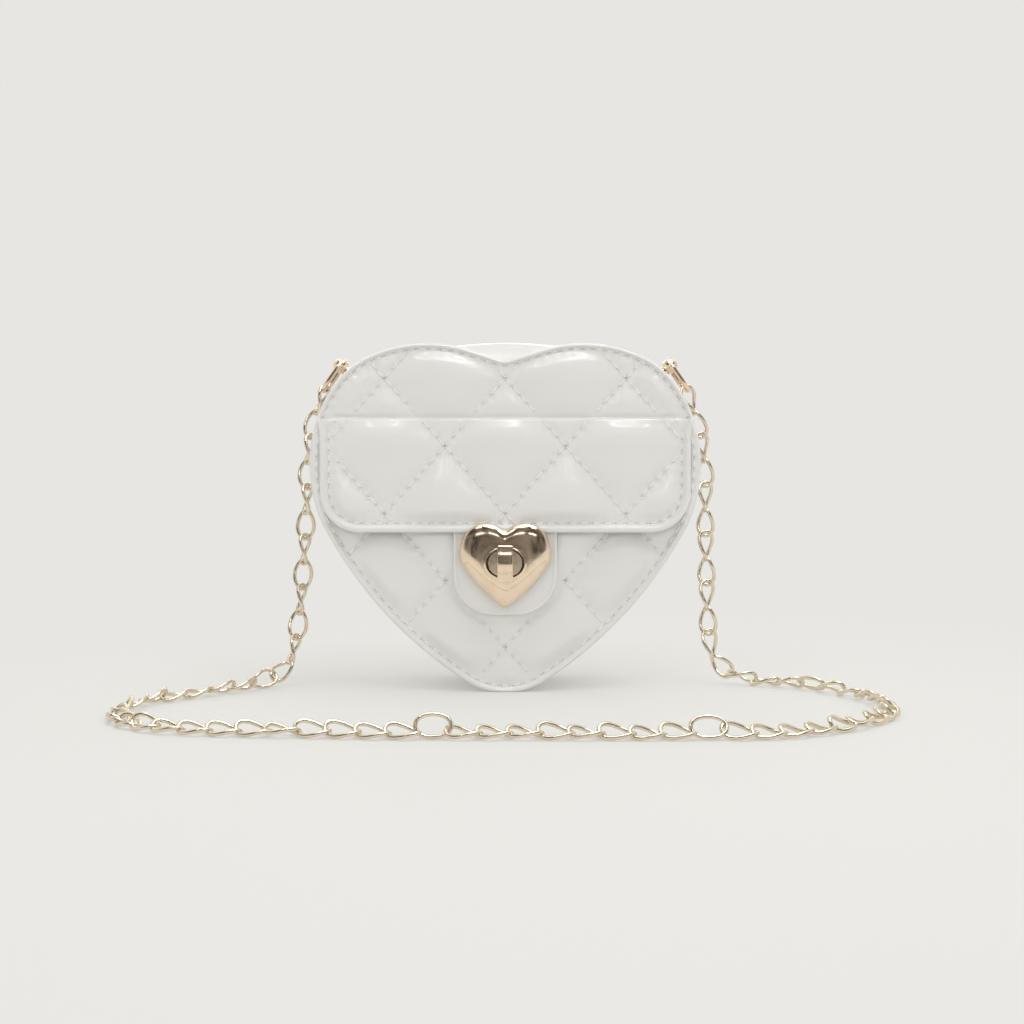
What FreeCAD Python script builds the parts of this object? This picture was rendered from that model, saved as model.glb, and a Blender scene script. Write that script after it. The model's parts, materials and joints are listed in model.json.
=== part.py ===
import FreeCAD, Part
import math
import os
from FreeCAD import Placement, Rotation, Vector

# A small structured shoulder purse in the shape of a heart.
# +X is to the wearer's right as the front is seen, the front faces -Y, +Z is up.
# The origin is on the floor, under the middle of the purse's depth.

doc = FreeCAD.newDocument("HeartPurse")
sheet = doc.addObject("Spreadsheet::Sheet", "Sizes")

# Driving dimensions: millimetres, with turns and headings in degrees.
# A heading is the direction of the outline, clockwise from level.
sizes = {
    # Heart outline of the front and back panels
    "heart_lobe_offset": 30,
    "heart_lobe_radius": 54,
    "heart_lobe_heading": 23,
    "heart_shoulder_radius": 35,
    "heart_shoulder_heading": 55,
    "heart_side_radius": 52,
    "heart_flank_radius": 59,
    "heart_flank_heading": 119.5,
    "heart_tip_radius": 27.3,
    "heart_tip_heading": 147.6,
    "heart_notch_radius": 8,
    "heart_notch_heading": 18,
    "heart_foot_cut": 0.8,
    # Purse body: padded panels on a stiffened gusset, lined inside
    "body_depth": 46,
    "panel_skin": 1,
    "panel_padding": 2,
    "panel_rim": 1,
    "gusset_inset": 0.4,
    "gusset_skin": 1,
    "gusset_board": 1,
    "lining": 0.6,
    # Mouth of the pocket, behind the flap
    "mouth_width": 120,
    "mouth_overlap": 14,
    "mouth_setback": 2.5,
    "mouth_corner": 8,
    # Flap and the yoke that it is folded from; its lower edge keeps its distance from the knob
    "flap_rise": 11.6,
    "flap_length": 44,
    "crease_gap": 0.6,
    "flap_width": 142.6,
    "flap_corner": 15.4,
    "flap_skin": 0.8,
    "flap_padding": 1.4,
    "flap_lining": 0.5,
    "flap_rim": 1,
    "flap_gap": 0.3,
    # Tongue under the flap that carries the heart plate
    "tongue_width": 40,
    "tongue_drop": 20.4,
    "tongue_overlap": 14,
    "tongue_corner": 15.4,
    "tongue_thickness": 1.2,
    # Heart plate of the turn lock
    "plate_lobe_offset": 8,
    "plate_lobe_radius": 9.6,
    "plate_lobe_heading": 35,
    "plate_shoulder_radius": 9.5,
    "plate_shoulder_heading": 60,
    "plate_side_radius": 10,
    "plate_flank_radius": 10,
    "plate_flank_heading": 118,
    "plate_tip_radius": 3,
    "plate_tip_heading": 143,
    "plate_notch_radius": 1.5,
    "plate_notch_heading": 30,
    "plate_tip_drop": 17.2,
    "plate_thickness": 6.2,
    "plate_edge_radius": 2.4,
    "plate_seat_gap": 0.1,
    "slot_width": 14.6,
    "slot_height": 11.4,
    "collar_wall": 0.7,
    "collar_rise": 0.5,
    "backing_thickness": 0.6,
    "backing_border": 6.4,
    "plate_pin_spread": 23,
    "plate_pin_radius": 0.9,
    "plate_pin_depth": 2.5,
    "pin_clearance": 0.05,
    # Turn knob and its base on the pocket
    "knob_height": 50.4,
    "knob_bar_length": 13.9,
    "knob_bar_width": 5.9,
    "knob_bar_thickness": 3,
    "knob_bar_edge": 1,
    "knob_lift": 0.4,
    "knob_post_radius": 2,
    "knob_running_gap": 0.05,
    "base_gap": 0.8,
    "base_rise": 7.6,
    "base_tube_radius": 3.5,
    "base_tube_gap": 0.1,
    "base_tube_end": 0.4,
    "washer_radius": 8,
    "washer_thickness": 0.8,
    "spring_thickness": 0.5,
    "spring_radius": 3.3,
    "clip_thickness": 0.8,
    "clip_gap": 0.05,
    # Ball studs on the shoulders and the strap rings in them
    "stud_heading": 44,
    "stud_flange_radius": 4,
    "stud_flange_thickness": 0.8,
    "stud_neck_radius": 2,
    "stud_ball_radius": 3.1,
    "stud_ball_height": 6.8,
    "stud_screw_radius": 1.2,
    "stud_screw_grip": 2.2,
    "stud_screw_head_radius": 2.6,
    "stud_screw_head_thickness": 1.2,
    "stud_washer_radius": 4,
    "stud_washer_thickness": 0.6,
    "stud_hole_gap": 0.1,
    "ring_wire": 2,
    "ring_running_gap": 0.05,
    "ring_width": 12,
    "ring_depth": 12.2,
    "ring_corner": 1.8,
    "ring_hang": 35,
    # Link chain
    "link_pitch": 9.81,
    "link_wire": 1.5,
    "link_width": 8,
    "link_gap": 0.3,
    "joint_link_extra": 1.2,
    "left_chain_twist": -60,
    "right_chain_twist": 60,
    # Cuts run past the metal by this much
    "overrun": 2,
}

for row, (name, number) in enumerate(sizes.items(), start=1):
    sheet.set(f"A{row}", name)
    sheet.set(f"B{row}", str(number))
    sheet.setAlias(f"B{row}", name)
doc.recompute()


def value(expression):
    return float(sheet.evalExpression(expression))


def size(name):
    return value(f"Sizes.{name}")


# Levels are measured ahead of the middle of the purse's depth, towards the front.
panel = "(Sizes.panel_skin + Sizes.panel_padding)"
front_face = "(Sizes.body_depth / 2)"
inner_face = f"({front_face} - {panel})"
backing_back = f"({front_face} + Sizes.flap_gap)"
tongue_back = f"({backing_back} + Sizes.backing_thickness)"
tongue_front = f"({tongue_back} + Sizes.tongue_thickness)"
flap_padding_back = f"({tongue_front} + Sizes.flap_lining)"
flap_skin_back = f"({flap_padding_back} + Sizes.flap_padding)"
flap_front = f"({flap_skin_back} + Sizes.flap_skin)"
plate_front = f"({tongue_front} + Sizes.plate_thickness)"
collar_front = f"({plate_front} + Sizes.collar_rise)"
knob_back = f"({collar_front} + Sizes.knob_lift)"
lining_back = f"({inner_face} - Sizes.lining)"
washer_back = f"({lining_back} - Sizes.washer_thickness)"
tube_end = f"({washer_back} - Sizes.base_tube_end)"
spring_back = f"({tube_end} - Sizes.spring_thickness)"
clip_front = f"({spring_back} - Sizes.clip_gap)"
post_end = f"({clip_front} - Sizes.clip_thickness)"

# Heights above the floor: the lock, the flap and the mouth all go by the knob.
flap_low = "(Sizes.knob_height + Sizes.flap_rise)"
crease = f"({flap_low} + Sizes.flap_length)"
mouth_low = f"({flap_low} + Sizes.mouth_overlap)"
mouth_high = f"({crease} - Sizes.mouth_setback)"
tongue_low = "(Sizes.knob_height - Sizes.tongue_drop)"
tongue_high = f"({flap_low} + Sizes.tongue_overlap)"
plate_tip = "(Sizes.knob_height - Sizes.plate_tip_drop)"

gusset_board_inset = "(Sizes.gusset_inset + Sizes.gusset_skin)"
gusset_lining_inset = f"({gusset_board_inset} + Sizes.gusset_board)"
cavity_inset = f"({gusset_lining_inset} + Sizes.lining)"


# Heart outlines. An arc is its centre, its radius and the headings that it runs between.
# A hollow arc, such as the notch, has a negative radius.


def across(heading):
    turn = math.radians(heading)
    return math.sin(turn), math.cos(turn)


def arc_point(arc, heading, inset):
    sine, cosine = across(heading)
    reach = arc["radius"] - inset
    return Vector(arc["x"] + reach * sine, arc["z"] + reach * cosine, 0)


def next_arc(arc, radius, end):
    # The next arc is tangent where this one ends, so its centre lies on the same normal.
    sine, cosine = across(arc["end"])
    shift = arc["radius"] - radius
    return {
        "x": arc["x"] + shift * sine,
        "z": arc["z"] + shift * cosine,
        "radius": radius,
        "start": arc["end"],
        "end": end,
    }


def heart_arcs(kind, tip_height):
    # Arcs of the right half, from the notch down to the tip, which ends at tip_height.
    def own(name):
        return size(f"{kind}_{name}")

    level, plumb, turned = 0.0, 90.0, 180.0
    notch = own("notch_heading")
    lobe = {
        "x": own("lobe_offset"),
        "z": 0.0,
        "radius": own("lobe_radius"),
        "start": -notch,
        "end": own("lobe_heading"),
    }
    shoulder = next_arc(lobe, own("shoulder_radius"), own("shoulder_heading"))
    side = next_arc(shoulder, own("side_radius"), plumb)
    flank = next_arc(side, own("flank_radius"), own("flank_heading"))
    # The lower side's radius is the one that brings the tip to the middle.
    flank_sine = across(flank["end"])[0]
    tip_sine = across(own("tip_heading"))[0]
    reach = flank["x"] + flank["radius"] * flank_sine - own("tip_radius") * tip_sine
    lower = next_arc(flank, reach / (flank_sine - tip_sine), own("tip_heading"))
    tip = next_arc(lower, own("tip_radius"), turned)
    # The notch's hollow arc is centred on the middle line and meets a straight run.
    sine, cosine = across(notch)
    run_end = arc_point(lobe, -notch, 0)
    run_start_x = own("notch_radius") * sine
    run_start_z = run_end.y - (run_end.x - run_start_x) * sine / cosine
    hollow = {
        "x": 0.0,
        "z": run_start_z + own("notch_radius") * cosine,
        "radius": -own("notch_radius"),
        "start": level,
        "end": -notch,
    }
    arcs = [hollow, lobe, shoulder, side, flank, lower, tip]
    lift = tip_height - arc_point(tip, turned, 0).y
    for arc in arcs:
        arc["z"] += lift
    return arcs


def half_heart(arcs, inset, bottom=None):
    # Point lists of the right half: two points make a line, three an arc.
    pieces = []
    for arc in arcs:
        start = arc_point(arc, arc["start"], inset)
        if pieces and (pieces[-1][-1] - start).Length > Part.Precision.confusion():
            pieces.append([pieces[-1][-1], start])
        end = arc["end"]
        crossed = bottom is not None and arc_point(arc, end, inset).y < bottom
        if crossed:
            end = math.degrees(math.acos((bottom - arc["z"]) / (arc["radius"] - inset)))
        middle = (arc["start"] + end) / 2
        pieces.append([start, arc_point(arc, middle, inset), arc_point(arc, end, inset)])
        if crossed:
            break
    return pieces


def mirrored(point):
    return Vector(-point.x, point.y, point.z)


def curve(points):
    if len(points) == 2:
        return Part.LineSegment(*points)
    return Part.Arc(*points)


def heart_loop(arcs, inset, bottom=None):
    right = half_heart(arcs, inset, bottom)
    left = [[mirrored(point) for point in reversed(piece)] for piece in reversed(right)]
    loop = [curve(piece) for piece in right]
    if bottom is not None:
        loop.append(curve([right[-1][-1], left[0][0]]))
    return loop + [curve(piece) for piece in left]


purse_arcs = heart_arcs("heart", -size("heart_foot_cut"))
plate_arcs = heart_arcs("plate", value(plate_tip))
shoulder_arc = purse_arcs[2]


def purse_loop(inset="0"):
    return heart_loop(purse_arcs, value(inset), value(inset))


def gusset_loop(inset):
    # The gusset is set in from the panels' edges, but stands on the same foot.
    return heart_loop(purse_arcs, value(inset), value(f"{inset} - Sizes.gusset_inset"))


def yoke_loop(inset="0"):
    bottom = value(f"{crease} + Sizes.crease_gap / 2 + {inset}")
    return heart_loop(purse_arcs, value(inset), bottom)


# Other outlines, in the plane of the front: x across, y up.


def corner(centre, radius, heading):
    # A quarter circle that starts at the heading and runs clockwise.
    points = []
    for share in (0, 0.5, 1):
        sine, cosine = across(heading + 90 * share)
        points.append(Vector(centre[0] + radius * sine, centre[1] + radius * cosine, 0))
    return points


def rounded_loop(half_width, low, high, low_radius, high_radius=0):
    # A rectangle with rounded lower corners, and rounded upper ones where they have a radius.
    pieces = []
    if high_radius:
        pieces.append(corner((half_width - high_radius, high - high_radius), high_radius, 0))
    else:
        pieces.append([Vector(-half_width, high, 0), Vector(half_width, high, 0)])
    pieces.append(corner((half_width - low_radius, low + low_radius), low_radius, 90))
    pieces.append(corner((low_radius - half_width, low + low_radius), low_radius, 180))
    if high_radius:
        pieces.append(corner((high_radius - half_width, high - high_radius), high_radius, 270))
    loop = []
    for index, piece in enumerate(pieces):
        loop.append(curve(piece))
        following = pieces[(index + 1) % len(pieces)]
        loop.append(curve([piece[-1], following[0]]))
    return loop


def flap_loop(inset="0"):
    inward = value(inset)
    return rounded_loop(
        size("flap_width") / 2 - inward,
        value(flap_low) + inward,
        value(f"{crease} - Sizes.crease_gap / 2") - inward,
        size("flap_corner") - inward,
    )


def mouth_loop(outset="0"):
    outward = value(outset)
    return rounded_loop(
        size("mouth_width") / 2 + outward,
        value(mouth_low) - outward,
        value(mouth_high) + outward,
        size("mouth_corner") + outward,
        size("mouth_corner") + outward,
    )


def tongue_loop():
    return rounded_loop(
        size("tongue_width") / 2, value(tongue_low), value(tongue_high), size("tongue_corner")
    )


def knob_point(x=0.0, z=0.0):
    return Vector(x, size("knob_height") + z, 0)


def level_oval(width, height):
    # A slot with round ends, longer across than up, centred on the knob.
    radius = height / 2
    end = width / 2 - radius
    return [
        curve([knob_point(-end, radius), knob_point(end, radius)]),
        curve([knob_point(end, radius), knob_point(end + radius), knob_point(end, -radius)]),
        curve([knob_point(end, -radius), knob_point(-end, -radius)]),
        curve([knob_point(-end, -radius), knob_point(-end - radius), knob_point(-end, radius)]),
    ]


def upright_oval(width, height):
    radius = width / 2
    end = height / 2 - radius
    return [
        curve([knob_point(radius, end), knob_point(radius, -end)]),
        curve([knob_point(radius, -end), knob_point(0, -end - radius), knob_point(-radius, -end)]),
        curve([knob_point(-radius, -end), knob_point(-radius, end)]),
        curve([knob_point(-radius, end), knob_point(0, end + radius), knob_point(radius, end)]),
    ]


def knob_circle(radius, x=0.0):
    return [Part.Circle(knob_point(x), Vector(0, 0, 1), value(radius))]


def slot_loop(outset="0"):
    outward = 2 * value(outset)
    return level_oval(size("slot_width") + outward, size("slot_height") + outward)


# Bodies built from pads that grow towards the front.


def new_body(label):
    body = doc.addObject("PartDesign::Body", label)
    body.Label = label
    return body


def add_pad(body, name, loops, back, depth):
    sketch = body.newObject("Sketcher::SketchObject", f"{name}_outline")
    plane = [item for item in body.Origin.OriginFeatures if item.Role == "XZ_Plane"][0]
    sketch.AttachmentSupport = (plane, [""])
    sketch.MapMode = "FlatFace"
    sketch.setExpression("AttachmentOffset.Base.z", back)
    for loop in loops:
        sketch.addGeometry(loop, False)
    pad = body.newObject("PartDesign::Pad", name)
    pad.Profile = sketch
    pad.setExpression("Length", depth)
    doc.recompute()
    return pad


def plate_body(label, loops, back, depth):
    body = new_body(label)
    add_pad(body, f"{label}_sheet", loops, back, depth)
    return body


def fillet_front(body, pad, ahead, half_span, radius):
    # Rounds the front edges of a pad that reach further out than half_span from the knob.
    names = []
    front = -value(ahead)
    for index, edge in enumerate(pad.Shape.Edges, start=1):
        middle = edge.valueAt((edge.FirstParameter + edge.LastParameter) / 2)
        points = [vertex.Point for vertex in edge.Vertexes] + [middle]
        on_front = all(abs(point.y - front) < Part.Precision.confusion() for point in points)
        away = math.hypot(middle.x, middle.z - size("knob_height"))
        if on_front and away > half_span:
            names.append(f"Edge{index}")
    fillet = body.newObject("PartDesign::Fillet", f"{pad.Name}_round")
    fillet.Base = (pad, names)
    fillet.setExpression("Radius", radius)
    doc.recompute()
    return fillet


# Solids turned about a line of their own, along local z.


def rod(name, radius, length, start):
    piece = doc.addObject("Part::Cylinder", name)
    piece.setExpression("Radius", radius)
    piece.setExpression("Height", length)
    piece.setExpression("Placement.Base.z", start)
    return piece


def joined(label, pieces):
    fuse = doc.addObject("Part::MultiFuse", label)
    fuse.Label = label
    fuse.Shapes = pieces
    return fuse


def cut_from(label, base, tool):
    cut = doc.addObject("Part::Cut", label)
    cut.Label = label
    cut.Base = base
    cut.Tool = tool
    return cut


nodes = []


def keep(piece):
    nodes.append(piece)
    return piece


# Back of the purse: a skin with a turned rim, its padding and its lining

back_panel = keep(plate_body("back_panel", [purse_loop(), purse_loop("Sizes.panel_rim")],
                             f"-{inner_face} - Sizes.panel_padding", "Sizes.panel_padding"))
add_pad(back_panel, "back_skin", [purse_loop()], f"-{front_face}", "Sizes.panel_skin")
keep(plate_body("back_padding", [purse_loop("Sizes.panel_rim")],
                f"-{inner_face} - Sizes.panel_padding", "Sizes.panel_padding"))
keep(plate_body("back_lining", [gusset_loop(cavity_inset)], f"-{inner_face}", "Sizes.lining"))

# Front of the purse, with the mouth of the pocket

tube_hole = "Sizes.base_tube_radius + Sizes.base_tube_gap"
front_panel = keep(plate_body(
    "front_panel",
    [purse_loop(), purse_loop("Sizes.panel_rim"), mouth_loop("Sizes.panel_rim"), mouth_loop()],
    inner_face, "Sizes.panel_padding"))
add_pad(front_panel, "front_skin", [purse_loop(), mouth_loop(), knob_circle(tube_hole)],
        f"{front_face} - Sizes.panel_skin", "Sizes.panel_skin")
keep(plate_body("front_padding",
                [purse_loop("Sizes.panel_rim"), mouth_loop("Sizes.panel_rim"), knob_circle(tube_hole)],
                inner_face, "Sizes.panel_padding"))
keep(plate_body("front_lining", [gusset_loop(cavity_inset), mouth_loop(), knob_circle(tube_hole)],
                lining_back, "Sizes.lining"))

# Gusset: outer band, stiffening board and lining, pierced by the two stud screws


def stud_foot(side):
    foot = arc_point(shoulder_arc, size("stud_heading"), size("gusset_inset"))
    turn = Rotation(Vector(0, 1, 0), side * size("stud_heading"))
    return Placement(Vector(side * foot.x, 0, foot.y), turn)


sides = {"left": -1, "right": 1}
screw_hole = "Sizes.stud_screw_radius + Sizes.stud_hole_gap"
wall = f"({cavity_inset} - Sizes.gusset_inset)"


def gusset_layer(label, outer_inset, inner_inset):
    ring = plate_body(f"{label}_ring", [gusset_loop(outer_inset), gusset_loop(inner_inset)],
                      f"-{inner_face}", f"2 * {inner_face}")
    drills = []
    for side_name, side in sides.items():
        hole = doc.addObject("Part::Cylinder", f"{label}_hole_{side_name}")
        hole.setExpression("Radius", screw_hole)
        hole.setExpression("Height", f"{wall} + 2 * Sizes.overrun")
        start = Vector(0, 0, -value(f"{wall} + Sizes.overrun"))
        hole.Placement = stud_foot(side) * Placement(start, Rotation())
        drills.append(hole)
    return keep(cut_from(label, ring, joined(f"{label}_holes", drills)))


gusset_layer("gusset_band", "Sizes.gusset_inset", gusset_board_inset)
gusset_layer("gusset_board", gusset_board_inset, gusset_lining_inset)
gusset_layer("gusset_lining", gusset_lining_inset, cavity_inset)

# Yoke: the upper part of the quilted front, sewn down along the lobes

yoke_depth = f"{flap_skin_back} - {front_face}"
yoke_panel = keep(plate_body("yoke_panel", [yoke_loop(), yoke_loop("Sizes.flap_rim")],
                             front_face, yoke_depth))
add_pad(yoke_panel, "yoke_skin", [yoke_loop()], flap_skin_back, "Sizes.flap_skin")
keep(plate_body("yoke_padding", [yoke_loop("Sizes.flap_rim")], front_face, yoke_depth))

# Flap, folded down from the yoke, with the tongue sewn under it

flap_panel = keep(plate_body("flap_panel", [flap_loop(), flap_loop("Sizes.flap_rim")],
                             flap_padding_back, "Sizes.flap_padding"))
add_pad(flap_panel, "flap_face", [flap_loop()], flap_skin_back, "Sizes.flap_skin")
keep(plate_body("flap_padding", [flap_loop("Sizes.flap_rim")], flap_padding_back, "Sizes.flap_padding"))
keep(plate_body("flap_lining", [flap_loop()], tongue_front, "Sizes.flap_lining"))

pin_hole = "Sizes.plate_pin_radius + Sizes.pin_clearance"
pin_places = [-size("plate_pin_spread") / 2, size("plate_pin_spread") / 2]
pin_loops = [knob_circle(pin_hole, place) for place in pin_places]
keep(plate_body("lock_tongue", [tongue_loop(), slot_loop()] + pin_loops,
                tongue_back, "Sizes.tongue_thickness"))

# Heart plate: a rounded casting with an oval slot, a collar round it and blind holes for two pins.
# Its upper edge overlaps the flap, so its back is stepped there.

heart_blank = new_body("heart_blank")
add_pad(heart_blank, "heart_back", [heart_loop(plate_arcs, 0), slot_loop()] + pin_loops,
        tongue_front, "Sizes.plate_pin_depth")
heart_face = add_pad(heart_blank, "heart_face", [heart_loop(plate_arcs, 0), slot_loop()],
                     f"{tongue_front} + Sizes.plate_pin_depth",
                     "Sizes.plate_thickness - Sizes.plate_pin_depth")
collar_reach = size("slot_width") / 2 + size("collar_wall")
fillet_front(heart_blank, heart_face, plate_front, collar_reach, "Sizes.plate_edge_radius")
add_pad(heart_blank, "heart_collar", [slot_loop("Sizes.collar_wall"), slot_loop()],
        f"{plate_front} - Sizes.collar_rise", "2 * Sizes.collar_rise")
flap_step = doc.addObject("Part::Box", "heart_step")
flap_step.setExpression("Length", "2 * Sizes.tongue_width")
flap_step.setExpression("Width", f"{flap_front} - {tongue_front} + Sizes.plate_seat_gap + Sizes.overrun")
flap_step.setExpression("Height", f"{crease} - {flap_low}")
flap_step.setExpression("Placement.Base.x", "-Sizes.tongue_width")
flap_step.setExpression("Placement.Base.y", f"-{flap_front} - Sizes.plate_seat_gap")
flap_step.setExpression("Placement.Base.z", f"{flap_low} - Sizes.plate_seat_gap")
keep(cut_from("heart_plate", heart_blank, flap_step))

keep(plate_body("plate_backing", [slot_loop("Sizes.backing_border"), slot_loop()] + pin_loops,
                backing_back, "Sizes.backing_thickness"))
plate_pins = []
for index, place in enumerate(pin_places):
    pin = doc.addObject("Part::Cylinder", f"plate_pin_{index}")
    pin.setExpression("Radius", "Sizes.plate_pin_radius")
    pin.setExpression("Height", f"{tongue_front} - {backing_back} + Sizes.plate_pin_depth")
    foot = knob_point(place)
    pin.Placement = Placement(Vector(foot.x, -value(backing_back), foot.y), Rotation(Vector(1, 0, 0), 90))
    plate_pins.append(pin)
keep(joined("plate_pins", plate_pins))

# Turn knob: a bar on a post that turns in the base, which is clenched to the pocket by a washer

bore = "Sizes.knob_post_radius + Sizes.knob_running_gap"
knob_base = keep(new_body("knob_base"))
base_outline = slot_loop("-Sizes.base_gap")
add_pad(knob_base, "base_tube", [knob_circle("Sizes.base_tube_radius"), knob_circle(bore)],
        tube_end, f"{front_face} - {tube_end}")
add_pad(knob_base, "base_boss", [base_outline, knob_circle(bore)], front_face, "Sizes.base_rise")

turn_knob = keep(new_body("turn_knob"))
add_pad(turn_knob, "knob_post", [knob_circle("Sizes.knob_post_radius")],
        post_end, f"{knob_back} - {post_end}")
bar_outline = upright_oval(size("knob_bar_width"), size("knob_bar_length"))
knob_bar = add_pad(turn_knob, "knob_bar", [bar_outline], knob_back, "Sizes.knob_bar_thickness")
fillet_front(turn_knob, knob_bar, f"{knob_back} + Sizes.knob_bar_thickness", 0, "Sizes.knob_bar_edge")

keep(plate_body("knob_washer", [knob_circle("Sizes.washer_radius"), knob_circle(tube_hole)],
                washer_back, "Sizes.washer_thickness"))
spring_hole = f"{bore} + Sizes.base_tube_gap"
keep(plate_body("knob_spring", [knob_circle("Sizes.spring_radius"), knob_circle(spring_hole)],
                spring_back, "Sizes.spring_thickness"))
keep(plate_body("knob_clip", [knob_circle("Sizes.spring_radius"), knob_circle("Sizes.knob_post_radius")],
                post_end, "Sizes.clip_thickness"))

# Ball studs, screwed from inside through the gusset, with a strap ring in each

ball_height = "Sizes.stud_ball_height"
eye = "Sizes.ring_wire / 2 + Sizes.ring_running_gap"
# A flat washer on the hollow side of the gusset stands off by the depth of its arc.
hollow_radius = f"(Sizes.heart_shoulder_radius - {cavity_inset})"
washer_sag = f"({hollow_radius} - sqrt({hollow_radius} ^ 2 - Sizes.stud_washer_radius ^ 2))"
washer_top = f"(-{wall} - {washer_sag})"
head_top = f"({washer_top} - Sizes.stud_washer_thickness)"
head_end = f"({head_top} - Sizes.stud_screw_head_thickness)"


def ball_centre(side):
    return stud_foot(side).multVec(Vector(0, 0, size("stud_ball_height")))


def ring_stud(side_name, side):
    label = f"ring_stud_{side_name}"
    flange = rod(f"{label}_flange", "Sizes.stud_flange_radius", "Sizes.stud_flange_thickness", "0")
    neck = rod(f"{label}_neck", "Sizes.stud_neck_radius", ball_height, "0")
    ball = doc.addObject("Part::Sphere", f"{label}_ball")
    ball.setExpression("Radius", "Sizes.stud_ball_radius")
    ball.setExpression("Placement.Base.z", ball_height)
    thread = rod(f"{label}_thread", screw_hole, "Sizes.stud_screw_grip + Sizes.overrun", "-Sizes.overrun")
    cross = doc.addObject("Part::Cylinder", f"{label}_eye")
    cross.setExpression("Radius", eye)
    cross.setExpression("Height", "4 * Sizes.stud_ball_radius")
    cross.Placement = Placement(Vector(0, 2 * size("stud_ball_radius"), size("stud_ball_height")),
                                Rotation(Vector(1, 0, 0), 90))
    stud = cut_from(label, joined(f"{label}_blank", [flange, neck, ball]),
                    joined(f"{label}_holes", [thread, cross]))
    stud.Placement = stud_foot(side)
    return stud


def stud_screw(side_name, side):
    label = f"stud_screw_{side_name}"
    head = rod(f"{label}_head", "Sizes.stud_screw_head_radius", "Sizes.stud_screw_head_thickness", head_end)
    length = f"Sizes.stud_screw_grip - {head_top}"
    shank = rod(f"{label}_shank", "Sizes.stud_screw_radius", length, head_top)
    screw = joined(label, [head, shank])
    screw.Placement = stud_foot(side)
    return screw


def stud_washer(side_name, side):
    label = f"stud_washer_{side_name}"
    disc = rod(f"{label}_disc", "Sizes.stud_washer_radius", "Sizes.stud_washer_thickness", head_top)
    hole = rod(f"{label}_hole", screw_hole, "Sizes.stud_washer_thickness + 2 * Sizes.overrun",
               f"{head_top} - Sizes.overrun")
    washer = cut_from(label, disc, hole)
    washer.Placement = stud_foot(side)
    return washer


def bent_wire(pieces, radius):
    # A round wire bent to a closed run of lines and arcs. It starts on a line.
    edges = [curve(piece).toShape() for piece in pieces]
    first, second = pieces[0]
    section = Part.Wire([Part.makeCircle(radius, first, second - first)])
    return Part.Wire(edges).makePipeShell([section], True, False)


def arc_in_ring(centre, radius, heading, turn):
    # An arc in the ring's own plane: y across, z up.
    points = []
    for share in (0, 0.5, 1):
        sine, cosine = across(heading + turn * share)
        points.append(centre + Vector(0, radius * sine, radius * cosine))
    return points


def strap_ring(side_name, side):
    # A D-shaped ring: its straight bar turns in the stud's eye, and the rest hangs below.
    half = (size("ring_width") - size("ring_wire")) / 2
    bend = size("ring_corner")
    end = size("ring_depth") - half
    pieces = [
        [Vector(0, bend - half, 0), Vector(0, half - bend, 0)],
        arc_in_ring(Vector(0, half - bend, -bend), bend, 0, 90),
        [Vector(0, half, -bend), Vector(0, half, -end)],
        arc_in_ring(Vector(0, 0, -end), half, 90, 180),
        [Vector(0, -half, -end), Vector(0, -half, -bend)],
        arc_in_ring(Vector(0, bend - half, -bend), bend, 270, 90),
    ]
    ring = doc.addObject("Part::Feature", f"strap_ring_{side_name}")
    ring.Label = f"strap_ring_{side_name}"
    ring.Shape = bent_wire(pieces, size("ring_wire") / 2)
    ring.Placement = Placement(ball_centre(side), Rotation(Vector(0, 1, 0), -side * size("ring_hang")))
    return ring


for side_name, side in sides.items():
    keep(ring_stud(side_name, side))
    keep(stud_screw(side_name, side))
    keep(stud_washer(side_name, side))
    keep(strap_ring(side_name, side))

# Link chain: each stretch follows a route of straight runs joined by tangent arcs

run_share = 0.45


def ring_end(side):
    # Where the first link bears on the strap ring
    ring = doc.getObject("strap_ring_left" if side < 0 else "strap_ring_right")
    reach = size("ring_depth") - (size("ring_wire") + size("link_gap")) / 2
    return ring.Placement.multVec(Vector(0, 0, -reach))


# Links lie on the floor leaning to either side by half a right angle.
lean = 45
floor_level = (size("link_width") - size("link_wire")) / 2 * across(lean)[0] + size("link_wire") / 2

left_drop_route = [
    ring_end(-1),
    Vector(-76.6, 0, 108), Vector(-79.4, 0, 97), Vector(-79.9, 0, 83), Vector(-80.4, -1, 66),
    Vector(-81.4, -1, 48), Vector(-82.4, -2, 31), Vector(-84.2, -4, 17.5), Vector(-87.6, -8, 8.6),
    Vector(-92.4, -13, 4.2), Vector(-98.5, -19.5, floor_level),
]
floor_route = [
    Vector(-98.5, -19.5, floor_level), Vector(-107, -28, floor_level), Vector(-119, -38, floor_level),
    Vector(-131, -50, floor_level), Vector(-138, -65, floor_level), Vector(-137.5, -81, floor_level),
    Vector(-128.5, -97, floor_level), Vector(-111, -107.5, floor_level), Vector(-87, -111, floor_level),
    Vector(-58, -113.5, floor_level), Vector(-28, -116.5, floor_level), Vector(2, -116, floor_level),
    Vector(32, -117, floor_level), Vector(60, -116.5, floor_level), Vector(84, -117, floor_level),
    Vector(104, -109, floor_level), Vector(121, -96, floor_level), Vector(133.5, -80, floor_level),
    Vector(138, -62, floor_level), Vector(136, -45, floor_level), Vector(128, -29.5, floor_level),
    Vector(117.5, -17.5, floor_level), Vector(108, -10.5, floor_level), Vector(99.5, -6.5, floor_level),
]
right_drop_route = [
    ring_end(1),
    Vector(76.8, 0, 108), Vector(79.6, 0, 97), Vector(80.8, 0, 83), Vector(80.6, 0, 66),
    Vector(81.2, 0, 48), Vector(81.8, -1, 31), Vector(83, -2, 17.5), Vector(86.2, -3, 8.6),
    Vector(92, -4.4, 4.2), Vector(99.5, -6.5, floor_level),
]


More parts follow.
